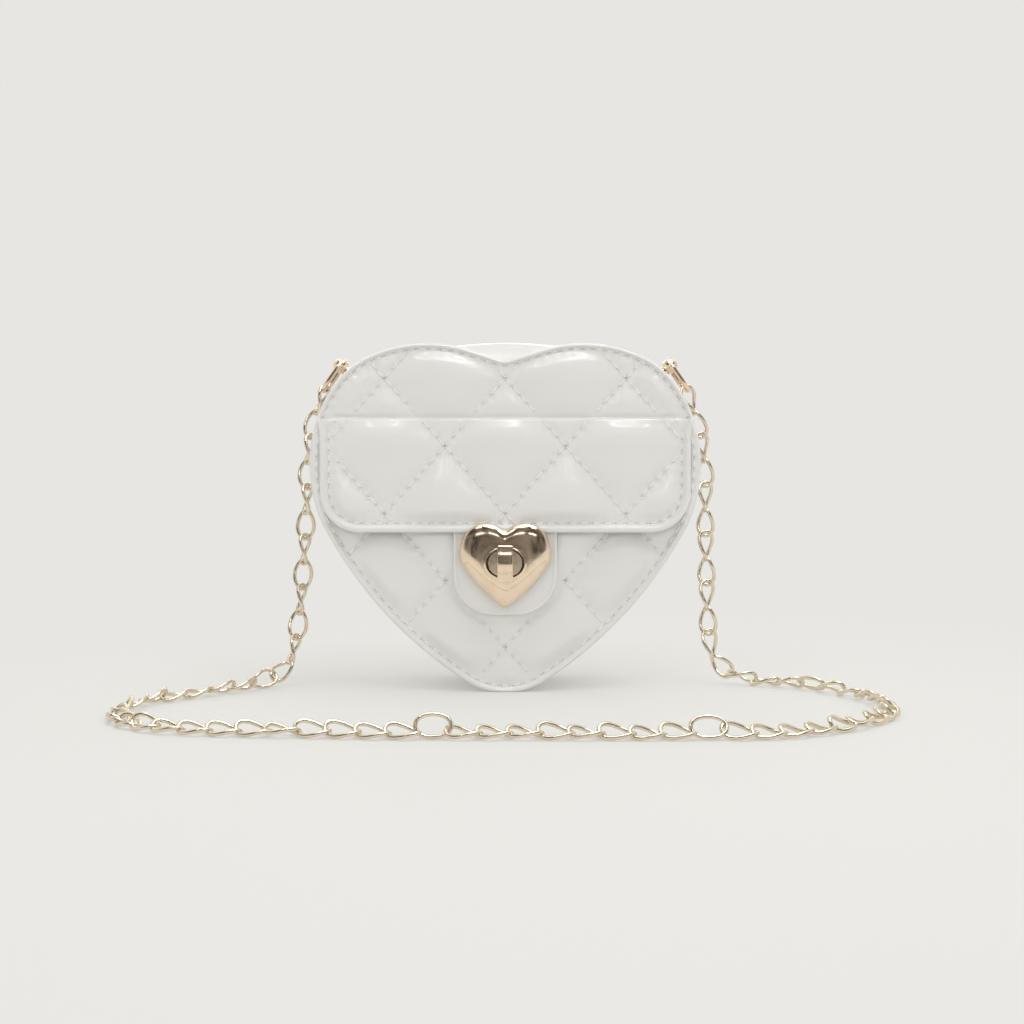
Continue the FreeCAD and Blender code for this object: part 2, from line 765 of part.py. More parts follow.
def chain_path(name, route):
    edges = []
    radii = []
    last = route[0]
    for before, point, after in zip(route, route[1:], route[2:]):
        inward = (before - point).normalize()
        onward = (after - point).normalize()
        half_turn = (math.pi - inward.getAngle(onward)) / 2
        reach = run_share * min((before - point).Length, (after - point).Length)
        radius = reach / math.tan(half_turn)
        bisector = (inward + onward).normalize()
        middle = point + bisector * (radius / math.cos(half_turn) - radius)
        start = point + inward * reach
        end = point + onward * reach
        edges.append(Part.LineSegment(last, start).toShape())
        edges.append(Part.Arc(start, middle, end).toShape())
        radii.append(round(radius, 1))
        last = end
    edges.append(Part.LineSegment(last, route[-1]).toShape())
    path = Part.Wire(edges)
    print(f"{name}: {path.Length:.1f} mm long, arc radii {radii}")
    return path


def link_shape(length, width):
    # A link along x, lying in the xy plane. The length is between the middles of its end wires.
    half = (width - size("link_wire")) / 2
    end = length / 2 - half
    pieces = [
        [Vector(-end, half, 0), Vector(end, half, 0)],
        [Vector(end, half, 0), Vector(end + half, 0, 0), Vector(end, -half, 0)],
        [Vector(end, -half, 0), Vector(-end, -half, 0)],
        [Vector(-end, -half, 0), Vector(-end - half, 0, 0), Vector(-end, half, 0)],
    ]
    return bent_wire(pieces, size("link_wire") / 2)


def links_along(path, upright, first_lean, twist=0, large_shares=()):
    # Equal steps along the path, each link turned a right angle from the one before.
    # The leans are measured from the upright direction, about the path, and the chain
    # takes up the twist evenly on its way.
    count = round(path.Length / size("link_pitch"))
    points = path.discretize(Number=count + 1)
    large = [int(share * count) for share in large_shares]
    plain_links, large_links = [], []
    for index in range(count):
        step = points[index + 1] - points[index]
        length = step.Length + size("link_wire") + size("link_gap")
        width = size("link_width")
        if index in large:
            width += size("joint_link_extra")
        along = Vector(step).normalize()
        level = along.cross(upright).normalize()
        rise = level.cross(along)
        turn = math.radians(first_lean + 90 * (index % 2) + twist * index / count)
        broad = rise * math.cos(turn) + level * math.sin(turn)
        link = link_shape(length, width)
        centre = (points[index] + points[index + 1]) / 2
        if index in large:
            centre.z += size("joint_link_extra") / 2
        link.Placement = Placement(centre, Rotation(along, broad, Vector(), "XYZ"))
        (large_links if index in large else plain_links).append(link)
    return plain_links, large_links


def chain_node(label, links):
    node = doc.addObject("Part::Feature", label)
    node.Label = label
    node.Shape = Part.makeCompound(links)
    node.Placement = Placement()
    return node


# The joining links sit at these shares of the floor stretch.
joining_shares = (0.42, 0.60, 0.87)
left_path = chain_path("chain_left_drop", left_drop_route)
floor_path = chain_path("chain_floor_run", floor_route)
right_path = chain_path("chain_right_drop", right_drop_route)
left_links, _ = links_along(left_path, Vector(0, 1, 0), 90, size("left_chain_twist"))
floor_links, joining = links_along(floor_path, Vector(0, 0, 1), lean, large_shares=joining_shares)
right_links, _ = links_along(right_path, Vector(0, 1, 0), 90, size("right_chain_twist"))
keep(chain_node("chain_left_drop", left_links))
keep(chain_node("chain_floor_run", floor_links))
keep(chain_node("chain_right_drop", right_links))
keep(chain_node("chain_joining_links", joining))

# Check every object, then write each sub-part

doc.recompute()
for item in doc.Objects:
    if "Invalid" in item.State or "Error" in item.State:
        raise RuntimeError(f"{item.Label} failed: {item.State}")
for node in nodes:
    if node.Shape.isNull() or not node.Shape.isValid() or not node.Shape.Solids:
        raise RuntimeError(f"{node.Label} has no valid solid")

print(f"flap hinge: y {-value(flap_front):.3f}, z {value(crease):.3f}")
print(f"ring hinge: x {ball_centre(1).x:.4f}, z {ball_centre(1).z:.4f}")
os.makedirs("parts", exist_ok=True)
for node in nodes:
    node.Shape.exportStep(f"parts/{node.Label}.step")
    print(f"{node.Label}: {len(node.Shape.Solids)} solid(s), {node.Shape.Volume:.1f} mm3")
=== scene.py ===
import json
import math

import bmesh
import bpy
import numpy as np
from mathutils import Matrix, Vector


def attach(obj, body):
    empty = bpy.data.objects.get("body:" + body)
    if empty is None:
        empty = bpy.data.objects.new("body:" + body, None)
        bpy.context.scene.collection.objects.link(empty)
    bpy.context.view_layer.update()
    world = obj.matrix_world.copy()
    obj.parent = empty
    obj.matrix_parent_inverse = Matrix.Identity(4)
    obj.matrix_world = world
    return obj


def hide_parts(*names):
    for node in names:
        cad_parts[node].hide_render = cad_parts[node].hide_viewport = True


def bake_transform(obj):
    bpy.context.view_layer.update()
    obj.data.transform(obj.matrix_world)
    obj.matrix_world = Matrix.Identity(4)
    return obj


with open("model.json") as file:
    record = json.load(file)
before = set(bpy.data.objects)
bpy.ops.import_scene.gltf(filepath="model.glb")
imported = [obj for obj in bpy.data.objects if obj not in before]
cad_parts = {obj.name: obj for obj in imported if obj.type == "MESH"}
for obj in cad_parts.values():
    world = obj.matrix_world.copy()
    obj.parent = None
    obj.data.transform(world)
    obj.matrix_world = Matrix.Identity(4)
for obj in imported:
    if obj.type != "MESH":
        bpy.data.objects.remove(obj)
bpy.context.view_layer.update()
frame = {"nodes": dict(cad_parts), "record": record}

mm = 0.001  # the purse's sizes are in millimetres, as in the CAD source, and the stage's in metres
scene = bpy.context.scene
scene.view_settings.view_transform = "Standard"
dice = np.random.default_rng(20)
print("frame loaded:", len(frame["nodes"]), "nodes")


# Small helpers


def smoothStep(low, high, value):
    # 3t^2 - 2t^3 between low and high, 0 before and 1 after
    t = np.clip((np.asarray(value, float) - low) / (high - low), 0, 1)
    return t * t * (3 - 2 * t)


def partWay(start, end, share):
    # start + (end - start) * share
    return start + (end - start) * share


def bell(distance, width):
    # exp(-(distance / width)^2)
    return np.exp(-(distance / width) ** 2)


def signedPower(wave, power):
    # the wave's size to a power, its sign kept; a power under 1 squares it off
    return np.sign(wave) * np.abs(wave) ** power


def circle(count):
    # angles at even steps round a full turn
    return np.linspace(0, 2 * np.pi, count, endpoint=False)


def headingWay(heading):
    # direction in the plane of a panel: the heading's sine across and its cosine up
    return np.stack([np.sin(heading), np.cos(heading)], -1)


def unit(vectors):
    # each vector over its length
    return vectors / np.maximum(np.linalg.norm(vectors, axis=-1, keepdims=True), 1e-12)


def stepLengths(line):
    # length of each step along a line
    return np.linalg.norm(np.diff(line, axis=0), axis=1)


def reachAlong(line):
    # length of a line from its start to each of its points
    return np.r_[0, np.cumsum(stepLengths(line))]


def evenLine(line, count):
    # count points at even steps along a line
    reach = reachAlong(line)
    marks = np.linspace(0, reach[-1], count)
    return np.stack([np.interp(marks, reach, column) for column in line.T], -1)


def closedLoop(points):
    # the points, and the first of them once more
    return np.concatenate([points, points[:1]])


def gridFaces(rows, columns, rowsClosed=False, columnsClosed=False):
    # corners of the quads between neighbouring points of a rows x columns grid
    r = np.arange(rows - (not rowsClosed))[:, None]
    c = np.arange(columns - (not columnsClosed))
    nextR, nextC = (r + 1) % rows, (c + 1) % columns
    corners = [r * columns + c, r * columns + nextC, nextR * columns + nextC, nextR * columns + c]
    return np.stack(corners, -1).reshape(-1, 4)


def repeatedFaces(faces, count, size):
    # the faces of count like parts of size points each, one part after another
    return (faces + (np.arange(count) * size)[:, None, None]).reshape(-1, 4)


def joined(parts):
    # several (points, faces) into one, the face numbers moved on by the points before them
    starts = np.cumsum([0] + [len(points) for points, faces in parts[:-1]])
    return (np.concatenate([points for points, faces in parts]),
            np.concatenate([faces + start for (points, faces), start in zip(parts, starts)]))


def newPiece(name, points, faces, body, slot, nodes=(), attributes=None, material=None, merge=True,
             sharp=None):
    # mesh from millimetre points; doubles at seams and poles are merged and the faces turned outwards
    mesh = bpy.data.meshes.new(name)
    mesh.from_pydata((np.asarray(points).reshape(-1, 3) * mm).tolist(), [], np.asarray(faces).tolist())
    for key, values in (attributes or {}).items():
        field = mesh.attributes.new(key, "FLOAT", "POINT")
        field.data.foreach_set("value", np.ravel(values).astype(np.float32))
    work = bmesh.new()
    work.from_mesh(mesh)
    if merge:
        bmesh.ops.remove_doubles(work, verts=work.verts, dist=1e-6)
    bmesh.ops.recalc_face_normals(work, faces=work.faces)
    work.to_mesh(mesh)
    work.free()
    mesh.polygons.foreach_set("use_smooth", np.ones(len(mesh.polygons), bool))
    if sharp:
        mesh.set_sharp_from_angle(angle=math.radians(sharp))
    mesh.materials.append(material or slotMaterials[slot])
    piece = bpy.data.objects.new(name, mesh)
    scene.collection.objects.link(piece)
    if body:
        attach(piece, body)
    if nodes:
        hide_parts(*nodes)
    print(name, len(mesh.polygons), "faces")
    return piece


# Camera, fitted to the pitch of the hanging and the lying links


view = {"focal": 1345.0, "pixels": 1024, "sensor": 36.0, "across": 2.6, "ahead": 543.0, "height": 83.7,
        "pitch": 1.53}
lens = bpy.data.cameras.new("photoCamera")
lens.sensor_width = view["sensor"]
lens.lens = view["focal"] / view["pixels"] * view["sensor"]
lens.clip_start = 0.01
camera = bpy.data.objects.new("photoCamera", lens)
camera.location = (view["across"] * mm, -view["ahead"] * mm, view["height"] * mm)
camera.rotation_euler = (math.radians(90 - view["pitch"]), 0, 0)
scene.collection.objects.link(camera)
scene.camera = camera


# Materials


def newMaterial(name, colour, roughness, metallic=0.0, coat=0.0, coatRoughness=0.05):
    # a principled surface with its plain values set
    material = bpy.data.materials.new(name)
    material.use_nodes = True
    material.diffuse_color = (*colour, 1)
    shader = material.node_tree.nodes["Principled BSDF"]
    values = {"Base Color": (*colour, 1), "Roughness": roughness, "Metallic": metallic, "Coat Weight": coat,
              "Coat Roughness": coatRoughness}
    for socket, value in values.items():
        shader.inputs[socket].default_value = value
    return material, material.node_tree, shader


def addNode(tree, kind, settings=None, **sockets):
    # a node with its settings and the values of its open sockets
    node = tree.nodes.new(kind)
    for key, value in (settings or {}).items():
        setattr(node, key, value)
    for key, value in sockets.items():
        node.inputs[key].default_value = value
    return node


def noiseOn(tree, scale, detail=3.0, stretch=None):
    # noise on Object coordinates, scale in bumps to the metre
    place = addNode(tree, "ShaderNodeTexCoord").outputs["Object"]
    if stretch:
        mapping = addNode(tree, "ShaderNodeMapping", Scale=stretch)
        tree.links.new(place, mapping.inputs["Vector"])
        place = mapping.outputs["Vector"]
    noise = addNode(tree, "ShaderNodeTexNoise", Scale=scale, Detail=detail)
    tree.links.new(place, noise.inputs["Vector"])
    return noise.outputs["Fac"]


def ramp(tree, source, low, high, fromLow=0.35, fromHigh=0.65):
    # values or colours from low to high over a stretch of the source
    if isinstance(low, tuple):
        node = addNode(tree, "ShaderNodeValToRGB")
        for element, position, colour in zip(node.color_ramp.elements, (fromLow, fromHigh), (low, high)):
            element.position = position
            element.color = (*colour, 1)
        tree.links.new(source, node.inputs["Fac"])
        return node.outputs["Color"]
    node = addNode(tree, "ShaderNodeMapRange")
    for socket, value in zip(("From Min", "From Max", "To Min", "To Max"), (fromLow, fromHigh, low, high)):
        node.inputs[socket].default_value = value
    tree.links.new(source, node.inputs["Value"])
    return node.outputs["Result"]


def combined(tree, operation, first, second):
    # product or maximum of two sockets
    node = addNode(tree, "ShaderNodeMath", {"operation": operation})
    tree.links.new(first, node.inputs[0])
    tree.links.new(second, node.inputs[1])
    return node.outputs[0]


def addBump(tree, shader, source, strength, distance):
    # the source as heights, distance in metres
    bump = addNode(tree, "ShaderNodeBump", Strength=strength, Distance=distance)
    tree.links.new(source, bump.inputs["Height"])
    tree.links.new(bump.outputs["Normal"], shader.inputs["Normal"])


def markedTone(tree, shader, tone, attribute, marked):
    # base colour: the tone, going over to the marked colour where the mesh's attribute is 1
    reader = addNode(tree, "ShaderNodeAttribute", {"attribute_name": attribute})
    mix = addNode(tree, "ShaderNodeMix", {"data_type": "RGBA"})
    mix.inputs["B"].default_value = (*marked, 1)
    tree.links.new(tone, mix.inputs["A"])
    tree.links.new(reader.outputs["Fac"], mix.inputs["Factor"])
    tree.links.new(mix.outputs["Result"], shader.inputs["Base Color"])


def patentLeather(name, settings):
    # glossy white leather: fine grain in the bump, slow change in tone and gloss, and painted shade along its
    # quilt lines, greyer in the grooves
    white, roughness = settings["white"], settings["roughness"]
    material, tree, shader = newMaterial(name, white, roughness, 0, *settings["coat"])
    tone = ramp(tree, noiseOn(tree, settings["toneScale"], 1.0), settings["shade"], white, 0.25, 0.75)
    # painted shade: the base colour greys where the mesh's seam attribute marks the quilt grooves
    markedTone(tree, shader, tone, "seam", settings["seamShade"])
    glossNoise = noiseOn(tree, settings["glossScale"], 1.0)
    gloss = ramp(tree, glossNoise, roughness - settings["change"], roughness + settings["change"], 0.2, 0.8)
    tree.links.new(gloss, shader.inputs["Roughness"])
    addBump(tree, shader, noiseOn(tree, settings["grain"], 2.0), settings["grainStrength"], 0.0002)
    return material


def polishedMetal(name, colour, darker, roughness, scratch=0.04):
    # plated metal: faint cloudiness in colour and gloss, hairline scratches in the bump
    material, tree, shader = newMaterial(name, colour, roughness, 1.0)
    tree.links.new(ramp(tree, noiseOn(tree, 180.0, 4.0), darker, colour), shader.inputs["Base Color"])
    gloss = ramp(tree, noiseOn(tree, 420.0), roughness - 0.03, roughness + 0.04)
    tree.links.new(gloss, shader.inputs["Roughness"])
    addBump(tree, shader, noiseOn(tree, 700.0, 5.0, (1.0, 6.0, 1.0)), scratch, 0.0001)
    return material


def wovenCloth(name, colour, darker, threads):
    # plain weave: two crossed waves in the bump and in the tone
    material, tree, shader = newMaterial(name, colour, 0.8)
    place = addNode(tree, "ShaderNodeTexCoord").outputs["Object"]
    waves = []
    for direction in ("X", "Z"):
        wave = addNode(tree, "ShaderNodeTexWave", {"bands_direction": direction}, Scale=threads,
                       Distortion=0.4)
        tree.links.new(place, wave.inputs["Vector"])
        waves.append(wave.outputs["Fac"])
    weave = combined(tree, "MULTIPLY", *waves)
    tree.links.new(ramp(tree, weave, darker, colour, 0.0, 0.6), shader.inputs["Base Color"])
    shader.inputs["Sheen Weight"].default_value = 0.2
    addBump(tree, shader, weave, 0.4, 0.0003)
    return material


def grainyStuff(name, settings):
    # board, foam or thread: one noise gives the tone and the bump
    material, tree, shader = newMaterial(name, settings["colour"], settings["roughness"])
    grain = noiseOn(tree, *settings["grain"])
    tone = ramp(tree, grain, *settings["tones"])
    if "holeShade" in settings:  # painted shade: a thread's ends darken where they dive into the needle holes
        markedTone(tree, shader, tone, "hole", settings["holeShade"])
    else:
        tree.links.new(tone, shader.inputs["Base Color"])
    addBump(tree, shader, grain, *settings["bump"])
    return material


slotMaterials = {
    "white_patent": patentLeather("whitePatent", {
        # the seam colour here is painted shade in the quilt grooves
        "white": (0.755, 0.75, 0.728), "shade": (0.745, 0.739, 0.715), "seamShade": (0.74, 0.733, 0.709),
        "toneScale": 25.0, "roughness": 0.38, "change": 0.03, "glossScale": 30.0, "coat": (0.6, 0.08),
        "grain": 1500.0, "grainStrength": 0.06}),
    "pale_gold": polishedMetal("paleGold", (0.94, 0.77, 0.60), (0.90, 0.725, 0.55), 0.13),
    "chain_gold": polishedMetal("chainGold", (0.86, 0.77, 0.61), (0.80, 0.70, 0.54), 0.20),
    "plain_steel": polishedMetal("plainSteel", (0.62, 0.62, 0.61), (0.54, 0.54, 0.53), 0.34, 0.12),
    "lining_cloth": wovenCloth("liningCloth", (0.70, 0.69, 0.66), (0.60, 0.59, 0.56), 900.0),
    "stiff_board": grainyStuff("stiffBoard", {
        "colour": (0.42, 0.35, 0.26), "roughness": 0.85, "grain": (260.0, 6.0, (1.0, 5.0, 1.0)),
        "tones": ((0.36, 0.29, 0.21), (0.47, 0.40, 0.31)), "bump": (0.3, 0.0004)}),
    "padding_foam": grainyStuff("paddingFoam", {
        "colour": (0.74, 0.72, 0.67), "roughness": 0.9, "grain": (1400.0, 2.0),
        "tones": ((0.62, 0.60, 0.54), (0.78, 0.76, 0.71)), "bump": (0.5, 0.0005)}),
}
# the thread's ends take a dark colour, painted shade of the needle holes
threadMaterial = grainyStuff("sewingThread", {
    "colour": (0.82, 0.815, 0.79), "roughness": 0.55, "grain": (2600.0, 2.0), "holeShade": (0.40, 0.39, 0.365),
    "tones": ((0.79, 0.783, 0.76), (0.86, 0.853, 0.83)), "bump": (0.3, 0.0002)})
for part in frame["record"]["subparts"]:
    nodeMesh = frame["nodes"][part["node"]].data
    nodeMesh.materials.clear()
    nodeMesh.materials.append(slotMaterials[part["material_slot"]])
print("materials set")


# Chain strap: a stretch at each side and one on the floor


strap = {
    "wire": 1.5, "width": 8.2, "slack": 0.25, "ovalPower": 0.9, "around": 28, "wireSides": 8, "rest": 0.05,
    "links": (13, 47, 13), "leftTurn": 45.0, "rightTurn": 5.0, "dropTwist": 90.0, "dropJitter": 7.0,
    "floorTurn": 46.0, "floorTwist": 63.0, "floorTilt": 1.2, "floorJitter": 17.0,
    "joins": (20, 29, 44), "joinWidth": (8.9, 8.7, 7.6), "joinTurn": (18.0, 30.0, 40.0), "joinTwist": 6.0,
}
floorLevel = 3.048
leftRoute = [(-72.521, 0, 118.968), (-76.6, 0, 108), (-79.4, 0, 97), (-79.9, 0, 83), (-80.4, -1, 66),
             (-81.4, -1, 48), (-82.6, -2, 31), (-84.4, -4, 15.5), (-87.0, -7.6, 6.2), (-91.8, -12.6, 3.3),
             (-98.5, -19.5, floorLevel)]
floorTrack = [(-98.5, -19.5), (-107, -28), (-119, -38), (-129.5, -50), (-135.6, -65), (-135, -81),
              (-126.5, -97), (-111, -107.5), (-87, -111), (-58, -113.5), (-28, -116.5), (2, -116), (32, -117),
              (60, -116.5), (84, -117), (104, -109), (121, -96), (133.5, -80), (138, -62), (136, -45),
              (128, -29.5), (117.5, -17.5), (108, -10.5), (99.5, -6.5)]
floorRoute = [(x, y, floorLevel) for x, y in floorTrack]
rightRoute = [(72.521, 0, 118.968), (76.8, 0, 108), (79.6, 0, 97), (80.8, 0, 83), (80.6, 0, 66),
              (81.2, 0, 48), (81.4, -1, 31), (82, -2, 16), (84.4, -3, 7.2), (90.6, -4.4, 3.6),
              (99.5, -6.5, floorLevel)]


def routeLine(name, route):
    # points of the NURBS spline that has the route's points as its control points
    curve = bpy.data.curves.new(name, "CURVE")
    curve.dimensions = "3D"
    curve.resolution_u = 16
    spline = curve.splines.new("NURBS")
    spline.points.add(len(route) - 1)
    spline.points.foreach_set("co", np.c_[route, np.ones(len(route))].astype(np.float32).ravel())
    spline.order_u = 3
    spline.use_endpoint_u = True
    holder = bpy.data.objects.new(name, curve)
    mesh = bpy.data.meshes.new_from_object(holder)
    line = np.empty(len(mesh.vertices) * 3)
    mesh.vertices.foreach_get("co", line)
    bpy.data.objects.remove(holder)
    bpy.data.curves.remove(curve)
    bpy.data.meshes.remove(mesh)
    return line.reshape(-1, 3)


def twistedLinks(marks, broad, turn, twist, width, tilt):
    # A link from each mark to the next: an oval of wire, half length * cos(a) along and half width * sin(a)
    # across, whose across direction turns from turn to turn + twist on the way; a ring of the wire's radius
    # is carried round it.
    wire = strap["wire"]
    starts, ends = marks[:-1], marks[1:]
    turn, twist, width, tilt = [np.broadcast_to(value, len(starts))[:, None]
                                for value in (turn, twist, width, tilt)]
    along = unit(ends - starts)
    length = np.linalg.norm(ends - starts, axis=1) + wire + strap["slack"]
    broad = np.broadcast_to(np.array(broad, float), along.shape)
    broad = unit(broad - (broad * along).sum(1, keepdims=True) * along)
    side = np.cross(broad, along)
    a = circle(strap["around"])
    far = signedPower(np.cos(a), strap["ovalPower"]) / 2
    wide = signedPower(np.sin(a), strap["ovalPower"]) / 2 * (width - wire)
    angle = np.radians(turn + twist * (far + 0.5))[..., None]
    across = broad[:, None] * np.cos(angle) + side[:, None] * np.sin(angle)
    facing = side[:, None] * np.cos(angle) - broad[:, None] * np.sin(angle)
    centre = ((starts + ends) / 2)[:, None] + along[:, None] * (far * length[:, None])[..., None]
    centre = centre + across * wide[..., None] + broad[:, None] * (far * tilt)[..., None]
    tangent = unit(np.roll(centre, -1, 1) - np.roll(centre, 1, 1))
    flat = unit(np.cross(tangent, facing))
    lift = np.cross(flat, tangent)
    b = circle(strap["wireSides"])[:, None]
    ring = flat[:, :, None] * np.cos(b) + lift[:, :, None] * np.sin(b)
    return centre[:, :, None] + ring * (wire / 2)


def chainPiece(name, points, nodes, body):
    # one mesh of all the links, each a grid that is closed both ways
    count, around, sides = points.shape[:3]
    faces = repeatedFaces(gridFaces(around, sides, True, True), count, around * sides)
    return newPiece(name, points, faces, body, "chain_gold", nodes, merge=False)


def strapDrop(name, route, turn, count, node):
    # each hanging link goes a quarter turn on from the one above it, and none goes into the floor
    line = routeLine(name, route)
    shake = dice.uniform(-strap["dropJitter"], strap["dropJitter"], count)
    turns = turn + strap["dropTwist"] * np.arange(count) + shake
    points = twistedLinks(evenLine(line, count + 1), (1, 0, 0), turns, strap["dropTwist"], strap["width"], 0)
    points[..., 2] += np.maximum(0, strap["rest"] - points[..., 2].min((1, 2)))[:, None, None]
    piece = chainPiece(name, points, [node], None)
    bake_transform(piece)


def strapFloor(name, route, count):
    # lying links lean over by a steady twist; three of them are open joining links, which twist little
    line = routeLine(name, route)
    turn = strap["floorTurn"] + dice.uniform(-strap["floorJitter"], strap["floorJitter"], count)
    twist = np.full(count, strap["floorTwist"])
    width = np.full(count, strap["width"])
    tilt = np.full(count, -strap["floorTilt"])
    joins = list(strap["joins"])
    turn[joins], twist[joins] = strap["joinTurn"], strap["joinTwist"]
    width[joins], tilt[joins] = strap["joinWidth"], 0.0
    points = twistedLinks(evenLine(line, count + 1), (0, 0, 1), turn, twist, width, tilt)
    # each link rests on the floor
    points[..., 2] += (strap["rest"] - points[..., 2].min((1, 2)))[:, None, None]
    piece = chainPiece(name, points, ["chain_floor_run", "chain_joining_links"], "purse")


leftLinks, floorLinks, rightLinks = strap["links"]
strapDrop("chainLeftDrop", leftRoute, strap["leftTurn"], leftLinks, "chain_left_drop")
strapFloor("chainFloorRun", floorRoute, floorLinks)
strapDrop("chainRightDrop", rightRoute, strap["rightTurn"], rightLinks, "chain_right_drop")


# Quilting: a sheet stitched down along the diamond lines and blown up between them


# one width here sets how far the painted groove shade spreads from each stitch line
quilt = {"halfAcross": 23.2, "halfUp": 26.0, "nodeHeight": 121.2, "lineGap": 17.31, "uStart": -8,
         "vStart": -4, "diamonds": 6, "cells": 18, "waves": 9, "uneven": 0.05, "groove": 0.1, "stitches": 8,
         "pucker": 0.32, "puckerWidth": 1.4, "shadeWidth": 0.8, "frames": 20, "sheetScale": 0.01,
         "sheetStart": 0.002}
quiltCloth = {"vertex_group_mass": "stitched", "use_pressure": True, "uniform_pressure_force": 4.0,
              "quality": 4, "mass": 0.02, "tension_stiffness": 5, "compression_stiffness": 5,
              "shear_stiffness": 2, "bending_stiffness": 0.15}


def quiltAxes(flat):
    # diamond coordinates: the two families of stitch lines run at even values of u and of v
    across, up = flat[..., 0] / quilt["halfAcross"], (flat[..., 1] - quilt["nodeHeight"]) / quilt["halfUp"]
    return across + up, across - up


def offLines(flat):
    # millimetres to the nearest stitch line of each family
    return [np.abs(k - 2 * np.round(k / 2)) * quilt["lineGap"] for k in quiltAxes(flat)]


def evenDiamonds(height):
    # the mean diamond as a sum of odd sine waves each way, without the cloth's small wrinkles, laid out again
    # with a slightly different filling in each diamond
    diamonds, cells = quilt["diamonds"], quilt["cells"]
    cell = height[:-1, :-1].reshape(diamonds, cells, diamonds, cells).mean((0, 2))
    waves = np.sin(np.pi * np.outer(np.arange(1, quilt["waves"], 2), np.arange(cells)) / cells)
    smooth = waves.T @ (waves @ cell @ waves.T * 4 / cells ** 2) @ waves
    filling = dice.uniform(1 - quilt["uneven"], 1 + quilt["uneven"], (diamonds, diamonds))
    return np.pad(np.kron(filling, smooth / smooth.max()), ((0, 1), (0, 1)))


def swellQuilt():
    # heights of the swollen sheet over its (u, v) grid, 0 on the stitch lines and about 1 at the crests
    count = quilt["diamonds"] * quilt["cells"] + 1
    step = np.arange(count) * 2 / quilt["cells"]
    u, v = np.meshgrid(quilt["uStart"] + step, quilt["vStart"] + step, indexing="ij")
    crests = np.abs(np.sin(u * np.pi / 2) * np.sin(v * np.pi / 2))
    scale = quilt["sheetScale"]  # ten times life size, where the cloth solver is steady
    x, z = (u + v) / 2 * quilt["halfAcross"] * scale, (u - v) / 2 * quilt["halfUp"] * scale
    places = np.stack([x, -quilt["sheetStart"] * crests, z], -1)
    mesh = bpy.data.meshes.new("quiltSheet")
    mesh.from_pydata(places.reshape(-1, 3).tolist(), [], gridFaces(count, count).tolist())
    if mesh.polygons[0].normal.y > 0:
        mesh.flip_normals()
    sheet = bpy.data.objects.new("quiltSheet", mesh)
    scene.collection.objects.link(sheet)
    onLine = np.arange(count) % quilt["cells"] == 0
    held = np.flatnonzero(onLine[:, None] | onLine)
    sheet.vertex_groups.new(name="stitched").add(held.tolist(), 1.0, "REPLACE")
    cloth = sheet.modifiers.new("swell", "CLOTH")
    for key, value in quiltCloth.items():
        setattr(cloth.settings, key, value)
    cloth.settings.effector_weights.gravity = 0
    cloth.point_cache.frame_start, cloth.point_cache.frame_end = 1, quilt["frames"]
    for number in range(1, quilt["frames"] + 1):
        scene.frame_set(number)
    swollen = sheet.evaluated_get(bpy.context.evaluated_depsgraph_get()).to_mesh()
    places = np.empty(len(swollen.vertices) * 3)
    swollen.vertices.foreach_get("co", places)
    height = -places.reshape(-1, 3)[:, 1].reshape(count, count)
    bpy.data.objects.remove(sheet)
    bpy.data.meshes.remove(mesh)
    scene.frame_set(1)
    print("quilt swollen to", round(float(height.max()), 3))
    return evenDiamonds(height)


def cubicField(field, row, column):
    # Catmull-Rom through the four nearest grid values each way
    def weights(t):
        # the four cubics in t, which add up to 1
        return [(-t + 2 * t * t - t ** 3) / 2, (2 - 5 * t * t + 3 * t ** 3) / 2,
                (t + 4 * t * t - 3 * t ** 3) / 2, (t ** 3 - t * t) / 2]
    lastRow, lastColumn = field.shape[0] - 1, field.shape[1] - 1
    row, column = np.clip(row, 0, lastRow - 0.001), np.clip(column, 0, lastColumn - 0.001)
    r, c = np.floor(row).astype(int), np.floor(column).astype(int)
    total = 0
    for i, rowWeight in zip((-1, 0, 1, 2), weights(row - r)):
        for j, columnWeight in zip((-1, 0, 1, 2), weights(column - c)):
            near = field[np.clip(r + i, 0, lastRow), np.clip(c + j, 0, lastColumn)]
            total = total + rowWeight * columnWeight * near
    return total


quiltHeights = swellQuilt()


def quilting(pillow, flat):
    # Pillows of a height, 0 on a stitch line and full at a crest; the groove at a line is rounded out as the
    # root of height^2 + groove^2. The leather dips at every needle hole: minus a cosine along each stitch
    # line, fading off it as a bell curve.
    u, v = quiltAxes(flat)
    height = cubicField(quiltHeights, (u - quilt["uStart"]) * quilt["cells"] / 2,
                        (v - quilt["vStart"]) * quilt["cells"] / 2)
    rounded = np.hypot(height, quilt["groove"]) - quilt["groove"]
    nearU, nearV = [bell(off, quilt["puckerWidth"]) for off in offLines(flat)]
    holes = np.cos(np.pi * quilt["stitches"] * v) * nearU + np.cos(np.pi * quilt["stitches"] * u) * nearV
    return pillow * rounded - quilt["pucker"] * holes


def seamShadeMask(flat):
    # where the painted groove shade goes: 1 on a stitch line, falling off it as a bell curve
    return bell(np.minimum(*offLines(flat)), quilt["shadeWidth"])


# Outlines: points and outward directions in the plane of the panels, clockwise from the top middle


# radius of each arc and the heading where it ends; of the tip, the heading where it starts
purseHeart = {"lobeOffset": 30, "lobe": (54, 23), "shoulder": (35, 55), "side": (52, 90),
              "flank": (59, 119.5), "tip": (27.3, 147.6), "notch": (8, 18), "tipHeight": -0.8, "spacing": 1.0}
plateHeart = {"lobeOffset": 7.4, "lobe": (9.6, 35), "shoulder": (9.5, 60), "side": (14.5, 90),
              "flank": (9, 125), "tip": (3, 143), "notch": (1.5, 30), "tipHeight": 33.2, "spacing": 0.45}
mirror = np.array([-1, 1])


